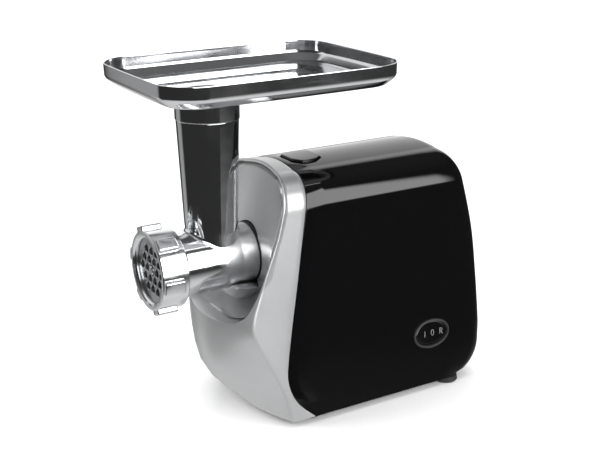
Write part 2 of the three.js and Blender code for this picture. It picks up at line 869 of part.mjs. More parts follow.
function augerShank() {
  return slabY(polygonShape(6, hexRadius), 5, couplingEndY - 1).translate(0, 0, axisZ);
}

function augerBush() {
  const front = augerEndY + gap;
  const inner = hexRadius + gap;
  return turned(
    [
      [inner, front],
      [bushFlange, front],
      [bushFlange, front + 1.7],
      [bushRadius, front + 1.7],
      [bushRadius, front + 7],
      [inner, front + 7],
      [inner, front],
    ],
    roundSmall,
  ).translate(0, 0, axisZ);
}

// ---- Tray ----
function trayOutline(inset, z) {
  const halfX = trayWidth / 2;
  const halfY = trayLength / 2;
  const middleY = trayFrontY + halfY;
  const r = Math.max(trayCorner - inset, 3);
  const points = [];
  for (const [sx, sy, start] of [[1, 1, 0], [-1, 1, 0.25], [-1, -1, 0.5], [1, -1, 0.75]]) {
    for (let i = 0; i <= 5; i++) {
      const a = (start + i / 20) * Math.PI * 2;
      points.push([
        sx * (halfX - inset - r) + r * Math.cos(a),
        sy * (halfY - inset - r) + r * Math.sin(a),
      ]);
    }
  }
  const sides = [];
  points.forEach(([x, y], i) => {
    const [nx, ny] = points[(i + 1) % points.length];
    sides.push([x, y]);
    if (Math.hypot(nx - x, ny - y) > trayCorner) {
      for (const share of [0.25, 0.5, 0.75]) sides.push([x + (nx - x) * share, y + (ny - y) * share]);
    }
  });
  return sides.map(([x, y]) => {
    const u = x / halfX;
    const v = y / halfY;
    return [x - trayBow * u * v ** 2, middleY + y - trayBowEnds * v * u ** 2, z];
  });
}

function tray() {
  const outside = trayProfile.map(({ down, inset }) => trayOutline(inset, trayTopZ - down)).reverse();
  const inside = trayProfile
    .slice(1)
    .map(({ down, inset }) => trayOutline(inset + traySheet, trayTopZ - down + traySheet))
    .reverse();
  inside.push(trayOutline(traySheet + 0.8, trayTopZ + 3));
  const throat = cylinderZ(skirtInner, 0, 0, trayUnderZ - 1, trayUnderZ + 2 * traySheet, round);
  return cut(toSolid(loft(outside)), toSolid(loft(inside)), throat);
}

// Ring under the tray that slips over the top of the feed tube.
const trayCollar = () =>
  upright(sleeve(skirtRadius, skirtInner, tubeStepZ + gap, trayUnderZ - gap, round));

// ---- Drive train ----
const fastDistance = ((motorTeeth + idlerTeeth) / 2) * fastModule;
const slowDistance = ((idlerPinionTeeth + outputTeeth) / 2) * slowModule;
const shaftRise = axisZ - motorZ;
const idlerRise = (shaftRise ** 2 + fastDistance ** 2 - slowDistance ** 2) / (2 * shaftRise);
const idlerX = Math.sqrt(fastDistance ** 2 - idlerRise ** 2);
const idlerZ = motorZ + idlerRise;
const slowY = gearboxY + coverThickness + 1.5;
const fastY = slowY + slowWidth + 2;
const caseInnerY = fastY + fastWidth + 2;
const caseEndY = caseInnerY + caseWall;
const frontBracketY = caseEndY + gap;
const stackY = frontBracketY + 12;
const rearBracketY = stackY + stackLength + gap;
const rearBracketEnd = rearBracketY + 28;
const fanY = rearBracketEnd + 3;
const poleHalf = armatureRadius - 1.6; // half the width of a field pole
const coilLow = 8.2; // windings start this far from the shaft
const coilHigh = 14.4;
const coilWide = motorRadius * 0.16;
const commutatorY = stackY + stackLength + 8;
const commutatorRadius = 9;
const commutatorLength = 13;

// Spur gear outline with one tooth centred on the given angle. Each flank runs along its involute.
function gearShape(teethCount, module, shift, middle, flankPoints) {
  const pressure = THREE.MathUtils.degToRad(20);
  const pitch = (teethCount * module) / 2;
  const base = pitch * Math.cos(pressure);
  const tip = pitch + module * (0.9 + shift);
  const root = pitch - module * (1.2 - shift);
  const spread = (r) => {
    const t = Math.sqrt(Math.max((r / base) ** 2 - 1, 0));
    return t - Math.atan(t);
  };
  const thickness = module * (Math.PI / 2 + 2 * shift * Math.tan(pressure)) - backlash / 2;
  const halfTooth = (r) => thickness / (2 * pitch) + spread(pitch) - spread(r);
  const from = Math.max(root, base);
  const points = [];
  for (let tooth = 0; tooth < teethCount; tooth++) {
    const centre = middle + (tooth / teethCount) * Math.PI * 2;
    const flank = [];
    if (root < base) flank.push([root, halfTooth(base)]);
    for (let i = 0; i < flankPoints; i++) {
      const r = from + ((tip - from) * i) / (flankPoints - 1);
      flank.push([r, halfTooth(r)]);
    }
    const rising = flank.map(([r, a]) => [r, centre - a]);
    const falling = flank.map(([r, a]) => [r, centre + a]).reverse();
    for (const [r, a] of [...rising, ...falling]) {
      points.push(new THREE.Vector2(r * Math.cos(a), r * Math.sin(a)));
    }
  }
  return new THREE.Shape(points);
}

function gear(shape, bore, x, z, y0, y1) {
  const disc = toSolid(slabY(shape, y0, y1).translate(x, 0, z));
  return bore ? cut(disc, cylinderY(bore, x, z, y0 - 1, y1 + 1)) : disc;
}

const towardsIdler = Math.atan2(idlerRise, idlerX);
const towardsOutput = Math.atan2(axisZ - idlerZ, -idlerX);

const motorPinion = () =>
  gear(
    gearShape(motorTeeth, fastModule, pinionShift, towardsIdler, 4),
    0,
    0,
    motorZ,
    fastY - 0.5,
    fastY + fastWidth + 0.5,
  );
const idlerGear = () =>
  gear(
    gearShape(idlerTeeth, fastModule, -pinionShift, towardsIdler + Math.PI + Math.PI / idlerTeeth, 2),
    idlerShaftRadius + gap,
    idlerX,
    idlerZ,
    fastY,
    fastY + fastWidth,
  );
const outputGear = () =>
  gear(
    gearShape(outputTeeth, slowModule, -pinionShift, towardsOutput + Math.PI + Math.PI / outputTeeth, 2),
    spindleRadius + gap,
    0,
    axisZ,
    slowY,
    slowY + slowWidth,
  );

// Idler shaft with the small pinion cut on it.
function idlerPinion() {
  const shape = gearShape(idlerPinionTeeth, slowModule, pinionShift, towardsOutput, 4);
  const pinion = gear(shape, 0, idlerX, idlerZ, slowY - 0.5, slowY + slowWidth + 0.5);
  return pinion.add(cylinderY(idlerShaftRadius, idlerX, idlerZ, gearboxY + 1, caseEndY - 1));
}

function driveSpindle() {
  const mouth = flangeY + 14;
  const shaft = toSolid(
    turned(
      [
        [0, mouth],
        [10.5, mouth],
        [10.5, gearboxY - gap],
        [spindleRadius, gearboxY - gap],
        [spindleRadius, caseEndY - 1],
        [0, caseEndY - 1],
      ],
      roundSmall,
    ).translate(0, 0, axisZ),
  );
  const hexagon = slabY(polygonShape(6, hexRadius + gap), mouth - 1, couplingEndY);
  return cut(shaft, toSolid(hexagon.translate(0, 0, axisZ)));
}

// Outline that wraps the gears: the hull of a circle round each shaft.
function gearboxShape(inset) {
  const circles = [
    [0, axisZ, (outputTeeth * slowModule) / 2 + 6 - inset],
    [idlerX, idlerZ, (idlerTeeth * fastModule) / 2 + 5.5 - inset],
    [0, motorZ, 16 - inset],
  ];
  const points = [];
  for (const [x, z, r] of circles) {
    for (let i = 0; i < 36; i++) {
      const a = (i / 36) * Math.PI * 2;
      points.push(new THREE.Vector2(x + r * Math.cos(a), z + r * Math.sin(a)));
    }
  }
  return new THREE.Shape(convexHull(points));
}

function convexHull(points) {
  const sorted = [...points].sort((a, b) => a.x - b.x || a.y - b.y);
  const half = (list) => {
    const chain = [];
    for (const p of list) {
      while (chain.length > 1) {
        const [a, b] = chain.slice(-2);
        if ((b.x - a.x) * (p.y - a.y) - (b.y - a.y) * (p.x - a.x) > 0) break;
        chain.pop();
      }
      chain.push(p);
    }
    return chain.slice(0, -1);
  };
  return [...half(sorted), ...half(sorted.reverse())];
}

function gearboxCover() {
  return cut(
    toSolid(slabY(gearboxShape(0), gearboxY, gearboxY + coverThickness)),
    cylinderY(spindleRadius + bushWall + gap, 0, axisZ, gearboxY - 1, gearboxY + coverThickness + 1),
    cylinderY(idlerShaftRadius + bushWall + gap, idlerX, idlerZ, gearboxY - 1, gearboxY + coverThickness + 1),
  );
}

function gearboxHousing() {
  const open = gearboxY + coverThickness + gap;
  const springPost = cylinderZ(5, springX, springY, axisZ + 20, springSeatZ, 16);
  return cut(
    joined(toSolid(slabY(gearboxShape(0), open, caseEndY)), springPost),
    toSolid(slabY(gearboxShape(caseWall), open - 1, caseInnerY)),
    cylinderY(spindleRadius + bushWall + gap, 0, axisZ, caseInnerY - 1, caseEndY + 1),
    cylinderY(idlerShaftRadius + bushWall + gap, idlerX, idlerZ, caseInnerY - 1, caseEndY + 1),
    cylinderY(motorShaftRadius + 3, 0, motorZ, caseInnerY - 1, caseEndY + 1),
  );
}

// The bore's flats, not its corners, clear the shaft.
const bush = (shaft, x, z, y0, length) =>
  sleeve(shaft + bushWall, (shaft + shaftGap) / Math.cos(Math.PI / roundSmall), y0, y0 + length)
    .translate(x, 0, z);

// ---- Motor ----
const motorShaft = () =>
  rod(motorShaftRadius, fastY + fastWidth + 0.5 + gap, fanY + 12).translate(0, 0, motorZ);

function motorBracket(discY, rimY) {
  const low = Math.min(discY, rimY);
  const high = Math.max(discY, rimY);
  const disc = discY < rimY ? [discY, discY + 4] : [discY - 4, discY];
  const vents = [0, 1, 2, 3].map((i) => {
    const a = (i / 4) * Math.PI * 2 + Math.PI / 4;
    return cylinderY(6.5, 19 * Math.cos(a), motorZ + 19 * Math.sin(a), disc[0] - 1, disc[1] + 1, 14);
  });
  const drum = cylinderY(motorRadius, 0, motorZ, low, high, roundMotor);
  const inside = discY < rimY ? [disc[1], high + 1] : [low - 1, disc[0]];
  return cut(
    drum,
    cylinderY(motorRadius - 2.5, 0, motorZ, inside[0], inside[1], roundMotor),
    cylinderY(motorShaftRadius + bushWall + gap, 0, motorZ, disc[0] - 1, disc[1] + 1),
    ...vents,
  );
}

function motorStator() {
  const y1 = stackY + stackLength;
  const disc = cylinderY(motorRadius, 0, motorZ, stackY, y1, round);
  const yoke = cut(disc, cylinderY(motorRadius - 5.6, 0, motorZ, stackY - 1, y1 + 1, round));
  const poles = disc.intersect(block(-poleHalf, poleHalf, stackY, y1, 0, motorZ + motorRadius));
  return cut(joined(yoke, poles), cylinderY(armatureRadius + 0.6, 0, motorZ, stackY - 1, y1 + 1, round));
}

// Winding round one pole; side is +1 above the shaft and -1 below it.
function fieldCoil(side) {
  const inner = poleHalf + 0.6;
  const outer = inner + coilWide;
  const low = motorZ + Math.min(side * coilLow, side * coilHigh);
  const high = motorZ + Math.max(side * coilLow, side * coilHigh);
  return cut(
    block(-outer, outer, stackY - 6, stackY + stackLength + 6, low, high),
    block(-inner, inner, stackY - 0.6, stackY + stackLength + 0.6, low - 1, high + 1),
  );
}

function armature() {
  const y0 = stackY + 1;
  const y1 = stackY + stackLength - 1;
  const slots = [];
  for (let i = 0; i < 12; i++) {
    slots.push(
      toSolid(
        box(-1.2, 1.2, y0 - 1, y1 + 1, armatureRadius - 7, armatureRadius + 2)
          .rotateY((i / 12) * Math.PI * 2)
          .translate(0, 0, motorZ),
      ),
    );
  }
  const core = cylinderY(armatureRadius, 0, motorZ, y0, y1, round);
  return cut(core, cylinderY(motorShaftRadius + gap, 0, motorZ, y0 - 1, y1 + 1), ...slots);
}

function commutator() {
  const bore = motorShaftRadius + gap;
  return sleeve(commutatorRadius, bore, commutatorY, commutatorY + commutatorLength).translate(0, 0, motorZ);
}

function brush(side) {
  const inner = commutatorRadius + runGap;
  const outer = motorRadius - 3;
  const y = commutatorY + commutatorLength / 2;
  return box(
    Math.min(side * inner, side * outer),
    Math.max(side * inner, side * outer),
    y - 3.5,
    y + 3.5,
    motorZ - 3,
    motorZ + 3,
  );
}

function coolingFan() {
  const hub = cylinderY(8, 0, motorZ, fanY, fanY + 9);
  const disc = cylinderY(motorRadius - 4, 0, motorZ, fanY, fanY + 1.6, roundMotor);
  const blades = [];
  for (let i = 0; i < 10; i++) {
    blades.push(
      toSolid(
        box(-0.8, 0.8, fanY + 1, fanY + 9, 7, motorRadius - 5)
          .rotateY((i / 10) * Math.PI * 2)
          .translate(0, 0, motorZ),
      ),
    );
  }
  return cut(joined(hub, disc, ...blades), cylinderY(motorShaftRadius + gap, 0, motorZ, fanY - 1, fanY + 10));
}

function motorCradle() {
  const shape = new THREE.Shape([
    new THREE.Vector2(-32, plateTopZ + gap),
    new THREE.Vector2(32, plateTopZ + gap),
    new THREE.Vector2(28, motorZ - 8),
    new THREE.Vector2(-28, motorZ - 8),
  ]);
  const y0 = stackY + 4;
  const y1 = stackY + stackLength - 4;
  return cut(
    toSolid(slabY(shape, y0, y1)),
    cylinderY(motorRadius + gap, 0, motorZ, y0 - 1, y1 + 1, roundMotor),
  );
}

// ---- Lock ----
const buttonTopZ = topZ(0) + buttonProud;
const buttonUnderZ = buttonTopZ - buttonThick;
const webTopZ = buttonUnderZ - 10;
const springSeatZ = buttonUnderZ - 18;

function lockButton() {
  const pad = toSolid(slabZ(buttonShape(0), buttonUnderZ, buttonTopZ, 6));
  const stem = block(-4, 4, buttonY - 3, buttonY + 3, webTopZ + gap, buttonUnderZ + 1);
  return joined(pad, stem);
}

// Plate round the socket, whose tooth reaches up into the notch of the head from below.
function latchPlate() {
  const y1 = latchY + latchThickness;
  const window = socketOuter + 5;
  const ring = cylinderY(window + 4.5, 0, axisZ, latchY, y1, roundLatch);
  const neck = block(-9, 9, latchY, y1, axisZ + window, webTopZ);
  const web = block(-5, 5, latchY, buttonY + 3, webTopZ - 3, webTopZ);
  const tooth = block(-3, 3, latchY, y1, axisZ - window - 1, axisZ - couplingRadius - 0.5);
  return joined(cut(ring, cylinderY(window, 0, axisZ, latchY - 1, y1 + 1, roundLatch)), neck, web, tooth);
}

function lockSpring() {
  const turns = 5;
  const wire = 0.5;
  const low = springSeatZ + gap + wire;
  const high = buttonUnderZ - gap - wire;
  const steps = turns * 8;
  const rings = [];
  for (let i = 0; i <= steps; i++) {
    const a = (i / steps) * turns * Math.PI * 2;
    const z = low + ((high - low) * i) / steps;
    const ring = [];
    for (let k = 0; k < 4; k++) {
      const b = -(k / 4) * Math.PI * 2;
      const r = springRadius + wire * Math.cos(b);
      ring.push([springX + r * Math.cos(a), springY + r * Math.sin(a), z + wire * Math.sin(b)]);
    }
    rings.push(ring);
  }
  return loft(rings);
}

// ---- Switch ----
// Moves a piece made about the X axis, with x = 0 on the surface, onto the leaning right-hand wall.
function onSide(piece) {
  const seat = new THREE.Matrix4()
    .makeTranslation(halfWidth(switchH), switchY, baseZ + switchH)
    .multiply(new THREE.Matrix4().makeRotationY(-Math.atan(sideLean)));
  return piece.transform(seat.elements);
}

function ovalX(halfLong, halfHigh, x0, x1) {
  const shape = new THREE.Shape();
  shape.absellipse(0, 0, halfLong, halfHigh, 0, Math.PI * 2);
  return toSolid(slabX(shape, x0, x1, 16));
}

const sleeveLong = bezelLong / 2 - 2.5 - gap;
const sleeveHigh = bezelHigh / 2 - 2.5 - gap;
const rockerDepth = 5;

function switchBezel() {
  const rim = ovalX(bezelLong / 2, bezelHigh / 2, gap, bezelProud);
  const sleeveWall = ovalX(sleeveLong, sleeveHigh, -wall - 3, 1);
  return onSide(cut(joined(rim, sleeveWall), ovalX(rockerLong / 2 + 1, rockerHigh / 2 + 0.5, -20, 20)));
}

function switchRocker() {
  const dish = toSolid(new THREE.CylinderGeometry(60, 60, 40, 96).rotateX(Math.PI / 2).translate(60.4, 0, 0));
  return onSide(cut(ovalX(rockerLong / 2, rockerHigh / 2, -rockerDepth, bezelProud + 1.2), dish));
}

function switchBody() {
  const x1 = -wall - 3 - gap;
  const shell = block(x1 - 22, x1, -sleeveLong + 1, sleeveLong - 1, -sleeveHigh + 1, sleeveHigh - 1);
  const wellLong = rockerLong / 2 + 0.5;
  const well = block(x1 - 6, x1 + 1, -wellLong, wellLong, -rockerHigh / 2, rockerHigh / 2);
  return onSide(cut(shell, well));
}

// ---- Assembly ----
const finishes = {
  polishedSteel: { color: 0xc9cbcc, roughness: 0.12, metalness: 1 },
  polishedAluminium: { color: 0xbfc1c2, roughness: 0.18, metalness: 1 },
  castAluminium: { color: 0xa9abac, roughness: 0.4, metalness: 1 },
  darkSteel: { color: 0x55585a, roughness: 0.35, metalness: 1 },
  satinSilver: { color: 0xb0b2b3, roughness: 0.42, metalness: 0.4 },
  glossBlack: { color: 0x0b0b0c, roughness: 0.08, metalness: 0 },
  mattBlack: { color: 0x17181a, roughness: 0.55, metalness: 0 },
  rubberBlack: { color: 0x101011, roughness: 0.85, metalness: 0 },
  nylonWhite: { color: 0xe3e1d8, roughness: 0.5, metalness: 0 },
  gearNylon: { color: 0xd9d3bd, roughness: 0.45, metalness: 0 },
  sinteredSteel: { color: 0x6d6f70, roughness: 0.5, metalness: 1 },
  bronze: { color: 0x9c7440, roughness: 0.4, metalness: 1 },
  copper: { color: 0xa35a32, roughness: 0.4, metalness: 1 },
  carbon: { color: 0x2b2b2c, roughness: 0.8, metalness: 0 },
};

const grinder = new THREE.Group();
grinder.name = "meat_grinder";

function add(name, shape, finish) {
  const geometry = shape.isBufferGeometry ? shape : toGeometry(shape);
  const mesh = new THREE.Mesh(geometry, new THREE.MeshStandardMaterial(finishes[finish]));
  mesh.name = name;
  grinder.add(mesh);
}

add("tray", tray(), "polishedSteel");
add("tray_collar", trayCollar(), "polishedSteel");
add("head_casting", headCasting(), "polishedAluminium");
add("ring_cap", ringCap(), "polishedAluminium");
add("cutting_plate", cuttingPlate(), "darkSteel");
add("cross_knife", crossKnife(), "darkSteel");
add("auger", auger(), "castAluminium");
add("auger_pin", augerPin(), "polishedSteel");
add("auger_shank", augerShank(), "polishedSteel");
add("auger_bush", augerBush(), "nylonWhite");

add("front_casing", frontCasing(), "satinSilver");
add("main_shell", mainShell(), "glossBlack");
add("base_plate", basePlate(), "mattBlack");
add("socket_collar", socketCollar(), "castAluminium");
add("bayonet_socket", bayonetSocket(), "mattBlack");
add("cord_gland", cordGland(), "rubberBlack");
for (const spot of footSpots) add(`foot_${spot.name}`, foot(spot), "rubberBlack");
for (const spot of screwSpots) add(`base_screw_${spot.name}`, baseScrew(spot), "sinteredSteel");

add("lock_button", lockButton(), "glossBlack");
add("latch_plate", latchPlate(), "sinteredSteel");
add("lock_spring", lockSpring(), "polishedSteel");
add("switch_bezel", switchBezel(), "mattBlack");
add("switch_rocker", switchRocker(), "glossBlack");
add("switch_body", switchBody(), "mattBlack");

add("gearbox_cover", gearboxCover(), "castAluminium");
add("gearbox_housing", gearboxHousing(), "castAluminium");
add("output_gear", outputGear(), "sinteredSteel");
add("drive_spindle", driveSpindle(), "sinteredSteel");
add("idler_gear", idlerGear(), "gearNylon");
add("idler_pinion", idlerPinion(), "sinteredSteel");
add("motor_pinion", motorPinion(), "sinteredSteel");
const rearBushY = caseInnerY + gap;
const rearBushLength = caseWall - gap;
add("spindle_bush_front", bush(spindleRadius, 0, axisZ, gearboxY + gap, coverThickness), "bronze");
add("spindle_bush_rear", bush(spindleRadius, 0, axisZ, rearBushY, rearBushLength), "bronze");
add("idler_bush_front", bush(idlerShaftRadius, idlerX, idlerZ, gearboxY + gap, coverThickness), "bronze");
add("idler_bush_rear", bush(idlerShaftRadius, idlerX, idlerZ, rearBushY, rearBushLength), "bronze");

add("motor_front_bracket", motorBracket(frontBracketY, stackY - gap), "castAluminium");
add("motor_rear_bracket", motorBracket(rearBracketEnd, rearBracketY), "castAluminium");
add("motor_bush_front", bush(motorShaftRadius, 0, motorZ, frontBracketY, 4), "bronze");
add("motor_bush_rear", bush(motorShaftRadius, 0, motorZ, rearBracketEnd - 4, 4), "bronze");
add("motor_stator", motorStator(), "sinteredSteel");
add("field_coil_upper", fieldCoil(1), "copper");
add("field_coil_lower", fieldCoil(-1), "copper");
add("motor_shaft", motorShaft(), "polishedSteel");
add("armature", armature(), "copper");
add("commutator", commutator(), "copper");
add("brush_left", brush(-1), "carbon");
add("brush_right", brush(1), "carbon");
add("cooling_fan", coolingFan(), "nylonWhite");
add("motor_cradle", motorCradle(), "mattBlack");

const bounds = new THREE.Box3().setFromObject(grinder);
grinder.position.y = -(bounds.min.y + bounds.max.y) / 2;

export default grinder;
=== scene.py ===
import math

import bmesh
import bpy
from mathutils import Matrix, Vector


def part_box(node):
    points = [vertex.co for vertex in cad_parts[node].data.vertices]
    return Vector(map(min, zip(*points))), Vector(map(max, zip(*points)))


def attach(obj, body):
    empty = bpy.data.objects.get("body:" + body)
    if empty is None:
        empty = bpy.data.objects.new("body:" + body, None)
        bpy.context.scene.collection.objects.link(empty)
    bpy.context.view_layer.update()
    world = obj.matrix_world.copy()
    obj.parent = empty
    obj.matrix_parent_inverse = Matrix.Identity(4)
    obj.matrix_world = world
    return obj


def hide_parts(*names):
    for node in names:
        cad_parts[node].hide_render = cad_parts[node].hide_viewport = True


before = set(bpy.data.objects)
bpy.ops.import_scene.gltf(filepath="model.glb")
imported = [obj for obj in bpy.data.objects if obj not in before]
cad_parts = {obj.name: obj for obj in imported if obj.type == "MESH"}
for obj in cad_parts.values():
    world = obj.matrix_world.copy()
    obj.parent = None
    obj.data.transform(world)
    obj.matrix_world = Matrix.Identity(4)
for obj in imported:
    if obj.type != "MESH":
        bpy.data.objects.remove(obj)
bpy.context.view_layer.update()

# Shapes are drawn in millimetres: x to the switch side, y back from the feed tube axis, z up from the floor.
mm = 0.001
headBack = 54.5  # back end of the head, behind the feed tube axis
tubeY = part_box("head_casting")[1][1] - headBack * mm  # feed tube axis in the frame
barrelZ = 138.5  # barrel, feed screw and drive axis
baseZ = 5.5  # lower edge of the casings
past = 1  # how far a cutter passes the faces that it opens


def toFrame(point):
    x, y, z = point
    return (x * mm, tubeY + y * mm, z * mm)


def smoothByAngle(mesh, degrees):
    build = bmesh.new()
    build.from_mesh(mesh)
    for face in build.faces:
        face.smooth = True
    for edge in build.edges:
        edge.smooth = len(edge.link_faces) == 2 and edge.calc_face_angle(0) < math.radians(degrees)
    build.to_mesh(mesh)
    build.free()


def piece(name, points, faces, sharp=30, merge=True):
    mesh = bpy.data.meshes.new(name)
    mesh.from_pydata([toFrame(point) for point in points], [], faces)
    build = bmesh.new()
    build.from_mesh(mesh)
    if merge:
        bmesh.ops.remove_doubles(build, verts=build.verts, dist=1e-7)
    bmesh.ops.recalc_face_normals(build, faces=build.faces)
    build.to_mesh(mesh)
    build.free()
    smoothByAngle(mesh, sharp)
    thing = bpy.data.objects.new(name, mesh)
    bpy.context.scene.collection.objects.link(thing)
    return thing


def rounded(corners, closed=False, steps=4):
    # corners are (a, b) or (a, b, radius): the ones with a radius become short curves
    out = []
    count = len(corners)
    for i, corner in enumerate(corners):
        here = Vector(corner[:2])
        radius = corner[2] if len(corner) > 2 else 0
        if radius == 0 or (not closed and i in (0, count - 1)):
            out.append(tuple(here))
            continue
        before = Vector(corners[i - 1][:2]) - here
        after = Vector(corners[(i + 1) % count][:2]) - here
        reach = radius / math.tan(max(before.angle(after), 0.05) / 2)
        start = here + before.normalized() * min(reach, before.length * 0.48)
        end = here + after.normalized() * min(reach, after.length * 0.48)
        for k in range(steps + 1):
            t = k / steps
            out.append(tuple(start * (1 - t) ** 2 + here * 2 * t * (1 - t) + end * t * t))
    return out


def turned(profile, place, segments=96, closed=False):
    # profile is (radius, along); place(radius, along, angle) gives a point
    points = []
    rows = []
    for radius, along in profile:
        if abs(radius) < 1e-6:
            rows.append([len(points)] * segments)
            points.append(place(0, along, 0))
            continue
        rows.append(list(range(len(points), len(points) + segments)))
        points += [place(radius, along, k / segments * 2 * math.pi) for k in range(segments)]
    return points, joinRows(rows, closed)


def joinRows(rows, closed=False, around=True):
    faces = []
    count = len(rows[0])
    for k in range(len(rows) if closed else len(rows) - 1):
        lower = rows[k]
        upper = rows[(k + 1) % len(rows)]
        for i in range(count if around else count - 1):
            j = (i + 1) % count
            loop = []
            for corner in (lower[i], lower[j], upper[j], upper[i]):
                if corner not in loop:
                    loop.append(corner)
            if len(loop) > 2:
                faces.append(loop)
    return faces


def ringRows(rings):
    points = [point for ring in rings for point in ring]
    count = len(rings[0])
    return points, [list(range(k * count, (k + 1) * count)) for k in range(len(rings))]


def alongY(z=barrelZ, x=0):
    return lambda r, y, a: (x + r * math.cos(a), y, z + r * math.sin(a))


def alongZ(x=0, y=0):
    return lambda r, z, a: (x + r * math.cos(a), y + r * math.sin(a), z)


def applied(thing):
    # bakes the modifiers into the mesh
    bpy.context.view_layer.update()
    evaluated = thing.evaluated_get(bpy.context.evaluated_depsgraph_get())
    mesh = bpy.data.meshes.new_from_object(evaluated)
    thing.modifiers.clear()
    thing.data = mesh
    return thing


def cutBy(thing, cutters, sharp=30, operation="DIFFERENCE"):
    for cutter in cutters:
        step = thing.modifiers.new("cut", "BOOLEAN")
        step.operation = operation
        step.solver = "EXACT"
        step.object = cutter
    applied(thing)
    for cutter in cutters:
        bpy.data.objects.remove(cutter)
    smoothByAngle(thing.data, sharp)
    return thing


def beveled(thing, width, degrees=35, segments=2):
    step = thing.modifiers.new("bevel", "BEVEL")
    step.width = width * mm
    step.segments = segments
    step.limit_method = "ANGLE"
    step.angle_limit = math.radians(degrees)
    applied(thing)
    smoothByAngle(thing.data, degrees)
    return thing


def prism(name, outline, low, high, axis, sharp=30):
    # outline points in the plane across the axis, given thickness along it
    place = {
        "x": lambda a, b, c: (c, a, b),
        "y": lambda a, b, c: (a, c, b),
        "z": lambda a, b, c: (a, b, c),
    }[axis]
    count = len(outline)
    points = [place(a, b, low) for a, b in outline] + [place(a, b, high) for a, b in outline]
    faces = [list(range(count)), list(range(count, 2 * count))[::-1]]
    faces += [[i, (i + 1) % count, count + (i + 1) % count, count + i] for i in range(count)]
    return piece(name, points, faces, sharp)


def lifted(thing):
    # a piece drawn round the origin, raised to the barrel axis
    for vertex in thing.data.vertices:
        vertex.co.z += barrelZ * mm
    return thing


def boxed(left, low, right, high):
    return [(left, low), (right, low), (right, high), (left, high)]


def drilled(radius, low, high):
    # profile of a plain round cutter or rod
    return [(0, low), (radius, low), (radius, high), (0, high)]


def superellipse(halfA, halfB, power=2.0, count=64, centre=(0, 0)):
    out = []
    for k in range(count):
        a = k / count * 2 * math.pi
        ca, sa = math.cos(a), math.sin(a)
        out.append((
            centre[0] + halfA * math.copysign(abs(ca) ** (2 / power), ca),
            centre[1] + halfB * math.copysign(abs(sa) ** (2 / power), sa),
        ))
    return out


def hermite(stations, h):
    # smooth value through (h, value) pairs
    last = len(stations) - 1

    def slope(i):
        a, b = stations[max(i - 1, 0)], stations[min(i + 1, last)]
        return (b[1] - a[1]) / (b[0] - a[0])

    if h >= stations[last][0]:
        return stations[last][1] + slope(last) * (h - stations[last][0])
    if h < stations[0][0]:
        return stations[0][1] + slope(0) * (h - stations[0][0])
    i = max(k for k in range(last) if stations[k][0] <= h)
    span = stations[i + 1][0] - stations[i][0]
    t = (h - stations[i][0]) / span
    u = 1 - t
    return (
        stations[i][1] * u * u * (1 + 2 * t)
        + slope(i) * span * t * u * u
        + stations[i + 1][1] * t * t * (3 - 2 * t)
        - slope(i + 1) * span * t * t * u
    )


class Value:
    # a node socket that takes part in Python arithmetic
    def __init__(self, graph, socket):
        self.graph = graph
        self.socket = socket

    def math(self, operation, *others):
        inputs = {0: self}
        for i, other in enumerate(others):
            inputs[i + 1] = other
        return self.graph.node("ShaderNodeMath", {"operation": operation}, inputs)

    def flipped(self, operation, other):
        return self.graph.node("ShaderNodeMath", {"operation": operation}, {0: other, 1: self})

    def __add__(self, other):
        return self.math("ADD", other)

    def __sub__(self, other):
        return self.math("SUBTRACT", other)

    def __mul__(self, other):
        return self.math("MULTIPLY", other)

    def __truediv__(self, other):
        return self.math("DIVIDE", other)

    def __pow__(self, other):
        return self.math("POWER", other)

    def __rsub__(self, other):
        return self.flipped("SUBTRACT", other)

    def __rtruediv__(self, other):
        return self.flipped("DIVIDE", other)

    __radd__ = __add__
    __rmul__ = __mul__


class Graph:
    def __init__(self, tree):
        self.tree = tree
        tree.nodes.clear()

    def node(self, kind, settings=None, inputs=None, out=0):
        made = self.tree.nodes.new(kind)
        for key, setting in (settings or {}).items():
            if key == "stops":
                self.stops(made.color_ramp, setting)
            else:
                setattr(made, key, setting)
        for key, given in (inputs or {}).items():
            if isinstance(given, Value):
                self.tree.links.new(given.socket, made.inputs[key])
            else:
                made.inputs[key].default_value = given
        if not made.outputs:
            return made
        return Value(self, made.outputs[out])

    def ramp(self, mask, *stops):
        return self.node("ShaderNodeValToRGB", {"stops": stops}, {0: mask})

    def rising(self, value, start, end, low=0.0, high=1.0):
        ends = {0: value, 1: start, 2: end, 3: low, 4: high}
        return self.node("ShaderNodeMapRange", {"interpolation_type": "SMOOTHSTEP"}, ends)

    def stops(self, ramp, stops):
        while len(ramp.elements) > 1:
            ramp.elements.remove(ramp.elements[-1])
        for i, (position, level) in enumerate(stops):
            element = ramp.elements[0] if i == 0 else ramp.elements.new(position)
            element.position = position
            element.color = (level, level, level, 1)


lookSockets = {
    "colour": "Base Color", "metal": "Metallic", "rough": "Roughness", "coat": "Coat Weight",
    "coatRough": "Coat Roughness", "normal": "Normal",
}


